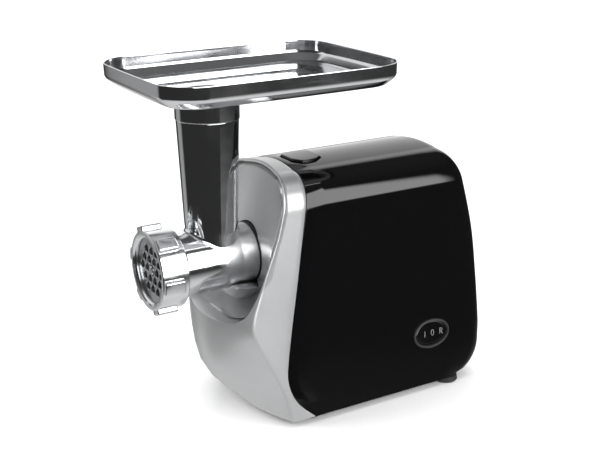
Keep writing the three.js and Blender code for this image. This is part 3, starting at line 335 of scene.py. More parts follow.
class Finish(Graph):
    # a material: one principled shader with patterns in object coordinates
    def __init__(self, name):
        self.material = bpy.data.materials.new(name)
        self.material.use_nodes = True
        super().__init__(self.material.node_tree)
        self.coords = self.node("ShaderNodeTexCoord", out=3)

    def placed(self, scale=(1, 1, 1), centre=(0, 0, 0), turn=(0, 0, 0)):
        moved = self.node("ShaderNodeMapping", {}, {0: self.coords, 1: tuple(-c for c in centre)})
        return self.node("ShaderNodeMapping", {}, {0: moved, 2: turn, 3: scale})

    def noise(self, size, detail=2.0, stretch=(1, 1, 1), rough=0.5):
        # size is the width of one feature in millimetres
        scale = tuple(s / (size * mm) for s in stretch)
        return self.node(
            "ShaderNodeTexNoise", {}, {"Vector": self.placed(scale), "Scale": 1.0, "Detail": detail,
                                       "Roughness": rough}
        )

    def between(self, mask, low, high):
        return mask * (high - low) + low

    def blendColour(self, mask, first, second):
        return self.node(
            "ShaderNodeMix", {"data_type": "RGBA"}, {0: mask, 6: (*first, 1), 7: (*second, 1)}, out=2
        )

    def bump(self, height, depth, strength=1.0, onto=None):
        # depth is the full height of the relief in millimetres
        inputs = {"Height": height, "Distance": depth * mm, "Strength": strength}
        if onto:
            inputs["Normal"] = onto
        return self.node("ShaderNodeBump", {}, inputs)

    def done(self, **looks):
        inputs = {lookSockets[key]: given for key, given in looks.items()}
        shader = self.node("ShaderNodeBsdfPrincipled", {}, inputs)
        self.node("ShaderNodeOutputMaterial", {}, {"Surface": shader})
        return self.material


def wear(finish, low, high, size=28):
    # soft handling marks: broad clouds broken by fine streaks
    cloud = finish.ramp(finish.noise(size, 3), (0.36, 0), (0.68, 1))
    streak = finish.ramp(finish.noise(3, 2, (1, 0.12, 0.5)), (0.45, 0), (0.75, 1))
    return finish.between(cloud * 0.75 + streak * 0.25, low, high)


def hairlines(finish, width=0.35, stretch=(1, 0.03, 1)):
    return finish.ramp(finish.noise(width, 1, stretch), (0.62, 0), (0.7, 1))


print("finishes")


def mirrorSteel():
    steel = Finish("mirror_steel")
    cloud = steel.noise(60, 2)
    scratch = hairlines(steel, 0.5, (1, 0.02, 1))
    return steel.done(
        colour=steel.blendColour(cloud, (0.74, 0.75, 0.77), (0.82, 0.83, 0.84)),
        metal=1.0,
        rough=wear(steel, 0.09, 0.17) + scratch * 0.06,
        normal=steel.bump(cloud, 0.25, 0.5, steel.bump(scratch, 0.002, 0.3)),
    )


def polishedCast():
    # bright in front, left satin towards the flange
    satinFrom, satinTo = -12, 8  # behind the tube axis
    satinTop, satinFull = 32, 24  # above the barrel axis
    cast = Finish("polished_cast")
    place = cast.node("ShaderNodeSeparateXYZ", {}, {0: cast.coords}).socket.node
    along = cast.rising(Value(cast, place.outputs[1]), tubeY + satinFrom * mm, tubeY + satinTo * mm)
    below = cast.rising(Value(cast, place.outputs[2]), (barrelZ + satinTop) * mm, (barrelZ + satinFull) * mm)
    satin = along * below
    swell = cast.noise(17, 1)
    pits = cast.ramp(cast.noise(0.6, 2), (0.70, 0), (0.76, 1))
    return cast.done(
        colour=cast.blendColour(pits, (0.79, 0.80, 0.81), (0.45, 0.45, 0.46)),
        metal=1.0,
        rough=wear(cast, 0.06, 0.13, 20) + pits * 0.15 + satin * 0.24,
        normal=cast.bump(swell, 0.22, 0.6, cast.bump(pits, -0.02, 0.4)),
    )


def satinCap():
    cap = Finish("satin_cap")
    swell = cap.noise(14, 1)
    pits = cap.ramp(cap.noise(0.6, 2), (0.70, 0), (0.76, 1))
    return cap.done(
        colour=cap.blendColour(pits, (0.80, 0.81, 0.82), (0.5, 0.5, 0.51)),
        metal=1.0,
        rough=wear(cap, 0.13, 0.22, 16) + pits * 0.12,
        normal=cap.bump(swell, 0.12, 0.5, cap.bump(pits, -0.02, 0.4)),
    )


def satinCast(name, shade, low=0.3, high=0.5):
    cast = Finish(name)
    grain = cast.noise(0.5, 3, rough=0.7)
    tone = cast.noise(9, 3)
    return cast.done(
        colour=cast.blendColour(
            tone, tuple(c * 0.85 for c in shade), tuple(min(c * 1.08, 1) for c in shade)
        ),
        metal=1.0,
        rough=wear(cast, low, high, 12),
        normal=cast.bump(grain, 0.05, 0.6),
    )


def groundSteel():
    # turning lines run round the barrel axis
    steel = Finish("ground_steel")
    ringsPerMetre = 4200
    centred = steel.placed((1, 0, 1), (0, 0, barrelZ * mm))
    radius = steel.node("ShaderNodeVectorMath", {"operation": "LENGTH"}, {0: centred}, out=1)
    rings = steel.node(
        "ShaderNodeTexNoise", {"noise_dimensions": "1D"}, {"W": radius * ringsPerMetre, "Detail": 3.0}
    )
    blot = steel.noise(7, 3)
    return steel.done(
        colour=steel.blendColour(blot, (0.42, 0.43, 0.44), (0.58, 0.59, 0.60)),
        metal=1.0,
        rough=steel.between(rings, 0.2, 0.46),
        normal=steel.bump(rings, 0.02, 0.6),
    )


def silverLacquer():
    # fine aluminium flake under a satin clear coat
    lacquer = Finish("silver_lacquer")
    flake = lacquer.noise(0.16, 1, rough=0.8)
    sparkle = lacquer.ramp(flake, (0.42, 0), (0.66, 1))
    orange = lacquer.noise(1.6, 2)
    return lacquer.done(
        colour=lacquer.blendColour(sparkle, (0.40, 0.405, 0.41), (0.58, 0.585, 0.59)),
        metal=0.62,
        rough=wear(lacquer, 0.30, 0.38, 40),
        coat=0.35,
        coatRough=0.16,
        normal=lacquer.bump(orange, 0.008, 0.5),
    )


def glossBlack(name="gloss_black", low=0.03, high=0.075):
    gloss = Finish(name)
    peel = gloss.noise(4.5, 1)
    dust = gloss.ramp(gloss.noise(0.35, 0), (0.80, 0), (0.84, 1))
    scratch = hairlines(gloss, 0.3, (1, 1, 0.03))
    return gloss.done(
        colour=gloss.blendColour(dust, (0.0022, 0.0022, 0.0025), (0.014, 0.014, 0.014)),
        rough=wear(gloss, low, high, 45) + scratch * 0.03,
        normal=gloss.bump(peel, 0.012, 0.35),
    )


def texturedPlastic(name, dark, light, grainSize=0.5, depth=0.04, rough=0.5):
    plastic = Finish(name)
    grain = plastic.noise(grainSize, 2, rough=0.65)
    tone = plastic.noise(14, 3)
    return plastic.done(
        colour=plastic.blendColour(tone, dark, light),
        rough=plastic.between(grain, rough - 0.08, rough + 0.1),
        normal=plastic.bump(grain, depth, 0.7),
    )


def rubber():
    soft = Finish("foot_rubber")
    grain = soft.noise(0.4, 3, rough=0.7)
    dusty = soft.ramp(soft.noise(6, 3), (0.45, 0), (0.75, 1))
    return soft.done(
        colour=soft.blendColour(dusty, (0.010, 0.010, 0.010), (0.035, 0.034, 0.033)),
        rough=soft.between(grain, 0.66, 0.88),
        normal=soft.bump(grain, 0.05, 0.7),
    )


def windingWire():
    # lacquered wire lying side by side round the pole; the colour darkens in the grooves between turns as
    # painted shade
    wire = Finish("winding_wire")
    turnsAndGrooveShade = wire.node(
        "ShaderNodeTexWave", {"wave_type": "BANDS", "bands_direction": "Z"},
        {"Vector": wire.placed((1000, 1000, 1000)), "Scale": 0.55, "Distortion": 1.2, "Detail": 1.0},
        out=1,
    )
    return wire.done(
        # painted shade: darker copper in the grooves between the turns, lighter on their crowns
        colour=wire.blendColour(turnsAndGrooveShade, (0.16, 0.045, 0.02), (0.55, 0.21, 0.09)),
        metal=0.7,
        rough=wire.between(turnsAndGrooveShade, 0.5, 0.28),
        normal=wire.bump(turnsAndGrooveShade, 0.25, 0.8),
    )


def printedWhite():
    paint = Finish("printed_white")
    edge = paint.noise(0.4, 2)
    return paint.done(
        colour=paint.blendColour(edge, (0.15, 0.15, 0.15), (0.20, 0.20, 0.20)),
        rough=paint.between(edge, 0.35, 0.5),
        normal=paint.bump(edge, 0.01, 0.4),
    )


finishes = {
    "tray": mirrorSteel(),
    "cast": polishedCast(),
    "cap": satinCap(),
    "collar": satinCast("bright_collar", (0.70, 0.705, 0.71), 0.16, 0.28),
    "plate": groundSteel(),
    "silver": silverLacquer(),
    "gloss": glossBlack(),
    "button": glossBlack("button_black", 0.10, 0.17),
    "textured": texturedPlastic("textured_black", (0.010, 0.010, 0.011), (0.020, 0.020, 0.021)),
    "socket": texturedPlastic("socket_black", (0.008, 0.008, 0.009), (0.014, 0.014, 0.015), 0.3, 0.02, 0.34),
    "rubber": rubber(),
    "steel": satinCast("turned_steel", (0.60, 0.61, 0.62), 0.18, 0.34),
    "sintered": satinCast("sintered_steel", (0.26, 0.265, 0.27), 0.42, 0.6),
    "zinc": satinCast("raw_zinc", (0.46, 0.47, 0.48), 0.36, 0.55),
    "bronze": satinCast("bush_bronze", (0.50, 0.33, 0.14), 0.32, 0.5),
    "nylon": texturedPlastic("white_nylon", (0.66, 0.65, 0.60), (0.78, 0.77, 0.72), 0.7, 0.02, 0.4),
    "gearNylon": texturedPlastic("gear_nylon", (0.58, 0.53, 0.40), (0.70, 0.66, 0.53), 0.6, 0.02, 0.38),
    "wire": windingWire(),
    "carbon": texturedPlastic("brush_carbon", (0.02, 0.02, 0.02), (0.045, 0.045, 0.045), 0.3, 0.05, 0.7),
    "print": printedWhite(),
}


def mount(thing, body, slot, finish, *nodes):
    # gives a finished piece its finish and its body, and hides the frame nodes it stands for
    thing.data.materials.clear()
    thing.data.materials.append(finishes[finish])
    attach(thing, body)
    if nodes:
        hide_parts(*nodes)
    return thing


def addInput(tree, kind, label, given):
    socket = tree.interface.new_socket(label, in_out="INPUT", socket_type=kind)
    if kind != "NodeSocketGeometry" and kind != "NodeSocketMaterial":
        socket.default_value = given
    return socket


def grown(thing, tree, values, finish):
    # runs a geometry nodes tree on a piece and keeps the result as its mesh
    step = thing.modifiers.new(tree.name, "NODES")
    step.node_group = tree
    for item in tree.interface.items_tree:
        if item.in_out == "INPUT" and item.name in values:
            step[item.identifier] = values[item.name]
        if item.in_out == "INPUT" and item.name == "Material":
            step[item.identifier] = finishes[finish]
    return applied(thing)


def spinTree():
    # copies the piece round an axis along y
    tree = bpy.data.node_groups.new("spin_copies", "GeometryNodeTree")
    tree.interface.new_socket("Geometry", in_out="OUTPUT", socket_type="NodeSocketGeometry")
    addInput(tree, "NodeSocketGeometry", "Geometry", None)
    addInput(tree, "NodeSocketInt", "Copies", 6)
    addInput(tree, "NodeSocketFloat", "First angle", 0.0)
    addInput(tree, "NodeSocketVector", "Axis point", (0, 0, 0))
    addInput(tree, "NodeSocketMaterial", "Material", None)
    graph = Graph(tree)
    entry = tree.nodes.new("NodeGroupInput")
    given = [Value(graph, socket) for socket in entry.outputs]
    spots = graph.node("GeometryNodePoints", {}, {"Count": given[1], "Position": given[3]})
    index = graph.node("GeometryNodeInputIndex")
    angle = index / given[1] * (-2 * math.pi) - given[2]
    turn = graph.node("ShaderNodeCombineXYZ", {}, {"Y": angle})
    back = graph.node("ShaderNodeVectorMath", {"operation": "SCALE"}, {0: given[3], "Scale": -1.0})
    centred = graph.node("GeometryNodeTransform", {}, {"Geometry": given[0], "Translation": back})
    copies = graph.node(
        "GeometryNodeInstanceOnPoints", {}, {"Points": spots, "Instance": centred, "Rotation": turn}
    )
    real = graph.node("GeometryNodeRealizeInstances", {}, {"Geometry": copies})
    painted = graph.node("GeometryNodeSetMaterial", {}, {"Geometry": real, "Material": given[4]})
    graph.node("NodeGroupOutput", {}, {0: painted})
    return tree


def spotsTree():
    # copies the piece to every point of a list kept in its second input
    tree = bpy.data.node_groups.new("copies_on_spots", "GeometryNodeTree")
    tree.interface.new_socket("Geometry", in_out="OUTPUT", socket_type="NodeSocketGeometry")
    addInput(tree, "NodeSocketGeometry", "Geometry", None)
    addInput(tree, "NodeSocketObject", "Spots", None)
    addInput(tree, "NodeSocketMaterial", "Material", None)
    graph = Graph(tree)
    entry = tree.nodes.new("NodeGroupInput")
    given = [Value(graph, socket) for socket in entry.outputs]
    spots = graph.node("GeometryNodeObjectInfo", {}, {"Object": given[1]}, out="Geometry")
    copies = graph.node("GeometryNodeInstanceOnPoints", {}, {"Points": spots, "Instance": given[0]})
    real = graph.node("GeometryNodeRealizeInstances", {}, {"Geometry": copies})
    painted = graph.node("GeometryNodeSetMaterial", {}, {"Geometry": real, "Material": given[2]})
    graph.node("NodeGroupOutput", {}, {0: painted})
    return tree


spinCopies = spinTree()
spotCopies = spotsTree()


def onSpots(thing, spots, finish):
    # spots are offsets in millimetres from where the piece was drawn
    mesh = bpy.data.meshes.new("spots")
    mesh.from_pydata([tuple(v * mm for v in spot) for spot in spots], [], [])
    marker = bpy.data.objects.new("spots", mesh)
    bpy.context.scene.collection.objects.link(marker)
    grown(thing, spotCopies, {"Spots": marker}, finish)
    bpy.data.objects.remove(marker)
    smoothByAngle(thing.data, 30)
    return thing


def spun(thing, copies, first, finish):
    values = {
        "Copies": copies,
        "First angle": math.radians(first),
        "Axis point": (0.0, tubeY, barrelZ * mm),
    }
    grown(thing, spinCopies, values, finish)
    smoothByAngle(thing.data, 30)
    return thing


def together(name, things, sharp=30):
    # several closed shells as one piece
    build = bmesh.new()
    for thing in things:
        build.from_mesh(thing.data)
        bpy.data.objects.remove(thing)
    mesh = bpy.data.meshes.new(name)
    build.to_mesh(mesh)
    build.free()
    smoothByAngle(mesh, sharp)
    joined = bpy.data.objects.new(name, mesh)
    bpy.context.scene.collection.objects.link(joined)
    return joined


print("tray")
traySizes = {
    "width": 160.1,
    "length": 210.2,
    "front": -65.65,
    "top": 299.4,
    "corner": 30,
    "bow": 1.9,
    "sheet": 1.1,
    "hem": 1.2,
    "throat": 25.5,
    "collarOuter": 26.6,
    "collarLow": 258.2,
    "collarLip": 1.6,
    "wall": [(0.1, 1.2), (0.35, 11.2, 6), (8.5, 18.2, 9), (30, 21.5, 16), (40, 21.5)],  # (inset, down, bend)
}
floorInset, floorDown = traySizes["wall"][-1]


def trayOutline(inset):
    s = traySizes
    halfX, halfY = s["width"] / 2, s["length"] / 2
    r = max(s["corner"] - inset * 0.8, 6)  # corners tighten towards the floor
    cornerSteps, sideSteps = 14, 10
    points = []
    for k, (sx, sy) in enumerate([(1, 1), (-1, 1), (-1, -1), (1, -1)]):
        cx, cy = sx * (halfX - inset - r), sy * (halfY - inset - r)
        for i in range(cornerSteps + 1):
            a = (k + i / cornerSteps) * math.pi / 2
            points.append((cx + r * math.cos(a), cy + r * math.sin(a)))
        nx, ny = [(-1, 1), (-1, -1), (1, -1), (1, 1)][k]
        a = (k + 1) * math.pi / 2
        nextX = nx * (halfX - inset - r) + r * math.cos(a)
        nextY = ny * (halfY - inset - r) + r * math.sin(a)
        lastX, lastY = points[-1]
        for i in range(1, sideSteps):
            t = i / sideSteps
            points.append((lastX + (nextX - lastX) * t, lastY + (nextY - lastY) * t))
    out = []
    for x, y in points:
        u, v = x / halfX, y / halfY
        out.append((x - s["bow"] * u * v**2, s["front"] + halfY + y - s["bow"] * 0.8 * v * u**2))
    return out


def offsetLine(line, distance):
    out = []
    for i, point in enumerate(line):
        a = Vector(line[max(i - 1, 0)])
        b = Vector(line[min(i + 1, len(line) - 1)])
        along = (b - a).normalized()
        out.append((point[0] + along.y * distance, point[1] - along.x * distance))
    return out


def makeTray():
    s = traySizes
    hemDown, edge, lead = 3.2, 0.55, 0.3
    wall = rounded(s["wall"], steps=7)
    inner = offsetLine(wall, s["sheet"])
    outside = rounded([(s["hem"] / 2, 0), (0, 0, edge), wall[0]], steps=3)[:-1] + wall
    hem = [(s["hem"], 0, edge), (s["hem"] + 0.05, hemDown * 0.75, 0.5), (inner[0][0], hemDown)]
    inside = rounded([(s["hem"] / 2, 0)] + hem, steps=3)[1:-1] + [p for p in inner if p[1] > hemDown]

    def ring(inset, down):
        return [(x, y, s["top"] - down) for x, y in trayOutline(inset)]

    def throatRing(down, radius):
        turns = [math.atan2(y, x) for x, y in trayOutline(floorInset)]
        return [(radius * math.cos(a), radius * math.sin(a), s["top"] - down) for a in turns]

    outRings = [ring(*p) for p in outside]
    inRings = [ring(*p) for p in inside]
    insideDown = inside[-1][1]
    throat = [throatRing(insideDown, s["throat"] + 1), throatRing(insideDown + lead, s["throat"]),
              throatRing(floorDown - lead, s["throat"]), throatRing(floorDown, s["throat"] + 1)]
    points, rows = ringRows(list(reversed(outRings)) + inRings + throat)
    return piece("tray_dish", points, joinRows(rows, closed=True), 40)


mount(makeTray(), "tray", "tray_steel", "tray", "tray")


def makeTrayCollar():
    s = traySizes
    clearance = 0.05
    under = s["top"] - floorDown - clearance
    low, inner, outer, lip = s["collarLow"], s["throat"], s["collarOuter"], s["collarLip"]
    profile = rounded([
        (inner, low, 0.3), (outer, low, 0.5), (outer, under - lip, lip), (outer + lip, under, 0.2),
        (inner, under, 0.1),
    ], closed=True)
    return piece("tray_collar_ring", *turned(profile, alongZ(), closed=True))


mount(makeTrayCollar(), "tray", "tray_steel", "tray", "tray_collar")

print("head")
headSizes = {
    "tubeLow": 22.0,  # outer radius where the tube meets the barrel
    "tubeLowZ": 162.3,
    "tubeHigh": 25.9,
    "stepZ": 257.9,
    "stepBand": 4,
    "topZ": 275.9,
    "spigot": 25.2,
    "wall": 3.2,
    "bore": 21.5,
    "boreFront": -41.5,
    "boreBack": 27.1,
    "fillet": 3.4,
    "front": -49.2,
    "thread": 30.2,
    "threadBack": -36.8,
    "seat": 26.6,  # the plate sits in this
    "flange": 25.4,
    "flangeBack": 31.3,
    "tail": 21.8,  # goes into the socket
    "tailBore": 18.4,
    "tailFloor": 32.1,
    "shaftHole": 11.4,
    "throat": 18.7,
    "lugs": 3,
    "lugFirst": 90,
    "lugTop": 23.6,
    "lugFrom": 49.5,
    "lugTo": 53.0,
}
barrelProfile = [  # (y, radius) of the outside that the tube stands on
    (-33, 27.4), (2, 26.7), (17, 25.0), (31, headSizes["flange"]),
]


def barrelRadiusAt(y):
    return hermite(barrelProfile, y)


def makeBarrel():
    s = headSizes
    neck = [(radius, y, bend) for (y, radius), bend in zip(barrelProfile, (2, 8, 12))]
    profile = [
        (s["seat"], s["front"], 0.3), (s["thread"], s["front"], 0.8), (s["thread"], s["threadBack"], 0.6),
        (27.8, s["threadBack"] + 0.2, 0.8), *neck, (s["flange"], 27.4, 6),
        (s["flange"], s["flangeBack"], 0.5), (s["tail"], s["flangeBack"], 0.3), (s["tail"], headBack, 0.5),
        (s["tailBore"], headBack, 0.3),
        (s["tailBore"], s["tailFloor"], 0.5), (s["shaftHole"], s["tailFloor"], 0.4),
        (s["shaftHole"], s["boreBack"], 0.3), (s["bore"], s["boreBack"], 0.5),
        (s["bore"], s["boreFront"], 0.3), (s["seat"], s["boreFront"], 0.3),
    ]
    barrel = piece("barrel", *turned(rounded(profile, closed=True), alongY(), 144, closed=True))
    throatLow, throatHigh = 140, 175
    throat = piece("throat", *turned(drilled(s["throat"], throatLow, throatHigh), alongZ()))
    return cutBy(barrel, [throat])


def makeTube():
    s = headSizes
    count = 144
    flare = 7  # steps of the fillet at the foot
    sinks = 1.5  # how far the foot goes into the barrel
    slope = (s["tubeHigh"] - s["tubeLow"]) / (s["stepZ"] - s["tubeLowZ"])
    bandZ = s["stepZ"] - s["stepBand"]
    inner, innerTop = s["tubeLow"] - s["wall"], s["spigot"] - s["wall"]
    place = alongZ()
    angles = [k / count * 2 * math.pi for k in range(count)]

    def tubeRadius(z):
        return s["tubeLow"] + (z - s["tubeLowZ"]) * slope

    foot = []
    for a in angles:
        side = Vector((math.cos(a), math.sin(a), 0))
        reach = s["tubeLow"] + s["fillet"]
        centre = side * reach
        centre.z = barrelZ + math.sqrt((barrelRadiusAt(centre.y) + s["fillet"]) ** 2 - centre.x**2)
        toTube = -side
        toBarrel = Vector((-centre.x, 0, barrelZ - centre.z)).normalized()
        arc = [centre + toTube.slerp(toBarrel, i / flare) * s["fillet"] for i in range(flare + 1)]
        sunk = arc[-1] + toBarrel * sinks
        foot.append([tuple(p) for p in arc] + [tuple(sunk)])
    top = rounded([
        (innerTop, s["topZ"]), (s["spigot"], s["topZ"], 0.8), (s["spigot"], s["stepZ"] + 0.1, 0.3),
        (s["tubeHigh"], s["stepZ"], 0.5), (tubeRadius(bandZ), bandZ),
    ])
    rings = [[place(r, z, a) for a in angles] for r, z in top]
    for share, swell in ((0.35, 0), (0.7, 0), (0.93, 0.02)):
        ring = []
        for a, low in zip(angles, foot):
            z = bandZ + (low[0][2] - bandZ) * share
            ring.append(place(tubeRadius(z) + swell, z, a))
        rings.append(ring)
    for i in range(flare + 2):
        rings.append([low[i] for low in foot])
    overBore = 0.6
    rings.append([
        place(inner, barrelZ + math.sqrt(s["bore"] ** 2 - (inner * math.cos(a)) ** 2) + overBore, a)
        for a in angles
    ])
    rings.append([place(innerTop, s["stepZ"], a) for a in angles])
    points, rows = ringRows(rings)
    return piece("feed_tube", points, joinRows(rows, closed=True), 40)


def makeBayonetLug():
    s = headSizes
    foot = s["tail"] - 1.3
    outline = rounded([(-5, foot), (5, foot), (4.8, s["lugTop"], 0.5), (-4.8, s["lugTop"], 0.5)], closed=True)
    lug = prism("bayonet_lug", [(b, a) for a, b in outline], s["lugFrom"], s["lugTo"], "y")
    return spun(lifted(lug), s["lugs"], s["lugFirst"], "cast")


head = together("grinding_head", [makeBarrel(), makeTube(), makeBayonetLug()], 40)
mount(head, "head", "head_aluminium", "cast", "head_casting")

print("ring cap, plate, centre pin and feed screw")
capSizes = {
    "outer": 33.0,
    "front": -58.9,
    "back": -35.9,
    "faceHole": 29.3,
    "lip": 27.0,
    "seat": -54.8,  # back of the lip that holds the plate
    "thread": 30.6,
    "lugCount": 6,
    "lugFirst": 52,
    "lugOuter": 36.8,
    "lugWidth": 12.0,
    "lugLength": 17.5,
}


def makeCap():
    s = capSizes
    seat = s["seat"]
    profile = [
        (s["faceHole"], s["front"], 0.5), (s["outer"], s["front"], 1.3), (s["outer"], s["back"], 0.9),
        (s["thread"], s["back"], 0.4), (s["thread"], seat, 0.2), (s["lip"], seat, 0.2),
        (s["lip"], seat - 1.5, 0.5), (s["faceHole"] - 0.7, seat - 2.5, 0.6),
    ]
    ring = piece("cap_ring", *turned(rounded(profile, closed=True, steps=5), alongY(), 144, closed=True))
    half, draft = s["lugWidth"] / 2, 0.4
    root = s["outer"] - 1.6  # inside the ring, so that no gap shows
    outline = rounded([
        (root, -half), (s["lugOuter"], -half + draft, 2.0), (s["lugOuter"], half - draft, 2.0), (root, half),
    ], closed=True, steps=5)
    front = s["front"] + 0.5
    lug = lifted(prism("cap_lug", outline, front, front + s["lugLength"], "y"))
    beveled(lug, 1.1, 50, 3)
    return together("cap_with_lugs", [ring, spun(lug, s["lugCount"], s["lugFirst"], "cap")], 35)


mount(makeCap(), "cap", "cap_aluminium", "cap", "ring_cap")

plateSizes = {
    "radius": 30.1, "front": -54.5, "thick": 5.0, "hole": 3.4, "countersink": 0.5, "pitch": 9.4,
    "centreHole": 4.5,
}


def makePlate():
    s = plateSizes
    front, back = s["front"], s["front"] + s["thick"]
    profile = rounded([(0, front), (s["radius"], front, 0.4), (s["radius"], back, 0.4), (0, back)])
    disc = piece("plate", *turned(profile, alongY(), 120))
    wide = s["hole"] + s["countersink"]
    drill = piece("drill", *turned([
        (0, front - past), (wide, front - past), (wide, front), (s["hole"], front + s["countersink"]),
        (s["hole"], back + past), (0, back + past),
    ], alongY(), 28))
    spots = []
    for i in range(6):
        for rings, turn in ((1, 0), (2, 0), (math.sqrt(3), math.pi / 6)):
            reach, a = rings * s["pitch"], i / 6 * 2 * math.pi + turn
            spots.append((reach * math.cos(a), 0, reach * math.sin(a)))
    onSpots(drill, spots, "plate")
    middle = piece("middle", *turned(drilled(s["centreHole"], front - past, back + past), alongY(), 48))
    return cutBy(disc, [drill, middle], 30)


mount(makePlate(), "head", "plate_steel", "plate", "cutting_plate")


pinSizes = {"radius": 3.9, "tip": -55.9, "chamfer": 0.9, "back": -31}


def makePin():
    s = pinSizes
    profile = rounded([
        (0, s["tip"]), (s["radius"] - s["chamfer"], s["tip"]), (s["radius"], s["tip"] + s["chamfer"], 0.3),
        (s["radius"], s["back"]), (0, s["back"]),
    ])
    return piece("centre_pin", *turned(profile, alongY(), 40))


mount(makePin(), "auger", "pin_steel", "steel", "auger_pin")

screwSizes = {
    "core": 8.6, "flight": 20.6, "root": 3.2, "tip": 1.1, "turns": 2.6, "from": -41.4, "to": 20.5,
    "disc": 20, "discTo": 24.5,
}


def makeFeedScrew():
    s = screwSizes
    core = piece("screw_core", *turned(rounded([
        (0, s["from"]), (s["core"], s["from"], 0.6), (s["core"] + 2.5, s["to"] - 1, 2),
        (s["disc"], s["to"], 0.8), (s["disc"], s["discTo"], 0.5), (0, s["discTo"]),
    ]), alongY(), 64))
    steps = int(s["turns"] * 48)
    rings = []
    sunk = s["core"] - 2
    section = rounded([
        (-s["root"], sunk), (-s["tip"], s["flight"], 0.5), (s["tip"], s["flight"], 0.5), (s["root"], sunk),
    ], closed=True, steps=3)
    start = s["from"] + 3.4
    travel = s["to"] - s["from"] - 8
    for i in range(steps + 1):
        share = i / steps
        a = share * s["turns"] * 2 * math.pi
        y = start + travel * share
        rings.append([(r * math.cos(a), y + dy, barrelZ + r * math.sin(a)) for dy, r in section])
    points, rows = ringRows(rings)
    faces = joinRows(rows) + [rows[0][::-1], rows[-1]]
    flight = piece("screw_flight", points, faces, 40)
    return together("feed_screw", [core, flight], 40)


mount(makeFeedScrew(), "auger", "auger_aluminium", "zinc", "auger")

print("casings")
baseSizes = {
    "height": 205.5,
    "crown": 3.0,
    "halfWidth": 67.1,
    "lean": 0.0737,
    "topCorner": 28.0,
    "backDepth": 243.0,
    "backCorner": 16.0,
    "backFoot": 30.0,
    "wall": 2.4,
    "seamGap": 0.7,
    "seamLip": 0.996,  # the casings step in a little at the seam
    "edgeRound": 2.5,
    "rimStep": 0.12,
    "socketHole": 26.5,
}
# lines of the casings: each pair is a height over the lower edge and a place at that height
frontMiddle = [(0, 21.7), (30, -5.5), (60, -13.5), (90, -10.3), (125, 2.4), (165, 24.2), (206, 47.7)]
frontBow = [(0, 12.1), (30, 29), (60, 25.8), (90, 14.8), (125, 16), (165, 11.5), (206, -5)]
backInset = [(30, 0.8), (46, 0), (99, 3.2), (136, 7), (179, 16.3), (206, 24)]
seamLine = [(-8, 69), (0, 59), (14, 44.3), (29, 36.6), (46, 34.9), (126, 49.2), (220, 66.1)]
recessSizes = {
    "lowest": 86.5, "square": 127.7, "lip": 1.2, "wallY": 32.3, "leanFrom": 150, "lean": 0.33, "power": 6,
    # (share of the reach to the rim, depth)
    "groove": [(0.0, 0), (0.955, 0), (0.965, 5), (0.985, 5), (0.992, 0.2), (1.0, 0)],
}
centreH = barrelZ - baseZ


def halfWidthAt(h):
    return baseSizes["halfWidth"] - baseSizes["lean"] * h


def frontAt(x, h):
    bowAt = 60  # frontBow is how far back the front lies at this x
    return hermite(frontMiddle, h) + hermite(frontBow, h) * (x / bowAt) ** 2


def backAt(h):
    s = baseSizes
    lean = hermite(backInset, max(h, s["backFoot"]))
    drop = max(s["backFoot"] - max(h, 0), 0)
    return s["backDepth"] - lean - (s["backFoot"] - math.sqrt(s["backFoot"] ** 2 - drop**2))


def seamAt(h):
    return hermite(seamLine, h)


cornerH = baseSizes["height"] - baseSizes["topCorner"]
middleX = halfWidthAt(cornerH) - baseSizes["topCorner"]  # half of the crowned top between the corners


def crownedTop(x):
    return baseSizes["height"] + baseSizes["crown"] * (1 - (x / middleX) ** 2)


def archOutline(inset):
    # from the lower left edge over the top to the lower right edge, as (x, h)
    sideSteps, cornerSteps, topSteps = 40, 16, 10
    bend = baseSizes["topCorner"] - inset
    half = []
    for i in range(sideSteps + 1):
        h = cornerH * (i / sideSteps)
        half.append((halfWidthAt(h) - inset, h))
    for i in range(1, cornerSteps + 1):
        a = i / cornerSteps * math.pi / 2
        half.append((middleX + bend * math.cos(a), cornerH + bend * math.sin(a)))
    for i in range(1, topSteps + 1):
        x = middleX * (1 - i / topSteps)
        half.append((x, crownedTop(x) - inset))
    return [(-x, h) for x, h in half] + [(x, h) for x, h in half[-2::-1]]


def topAt(x):
    return baseZ + crownedTop(x)


def recessRim(count=400):
    # closed line of the recess edge as polar radii round the barrel axis
    r = recessSizes
    side = halfWidthAt(r["square"]) - r["lip"]
    points = []
    for i in range(count + 1):
        share = math.sin(i / count * math.pi / 2)
        points.append((side * share, r["square"] - (r["square"] - r["lowest"]) * (1 - share**4) ** 0.25))
    clearOfCorner = r["square"] + 4
    upper = [(x, h) for x, h in archOutline(r["lip"]) if x >= 0 and h > clearOfCorner]
    points += sorted(upper, key=lambda p: math.atan2(p[1] - centreH, p[0]))
    return [(math.atan2(x, centreH - h), math.hypot(x, h - centreH)) for x, h in points]


rimPolar = recessRim()


def rimReach(x, h):
    # distance from the barrel axis to the rim in the direction of a point
    angle = math.atan2(abs(x), centreH - h)
    for (a0, r0), (a1, r1) in zip(rimPolar, rimPolar[1:]):
        if a0 <= angle <= a1:
            return r0 + (r1 - r0) * ((angle - a0) / max(a1 - a0, 1e-9))
    return rimPolar[-1][1]


def recessAt(x, h):
    r = recessSizes
    share = min(math.hypot(x, h - centreH) / rimReach(x, h), 1)
    deep = r["wallY"] + max(h - r["leanFrom"], 0) * r["lean"]
    groove = 0
    for (s0, g0), (s1, g1) in zip(r["groove"], r["groove"][1:]):
        if s0 <= share <= s1:
            groove = g0 + (g1 - g0) * (share - s0) / (s1 - s0)
    return frontAt(x, h) + groove + (deep - frontAt(x, h)) * (1 - share ** r["power"])


def solidified(thing, thickness, offset=-1):
    step = thing.modifiers.new("wall", "SOLIDIFY")
    step.thickness = thickness * mm
    step.offset = offset
    return applied(thing)


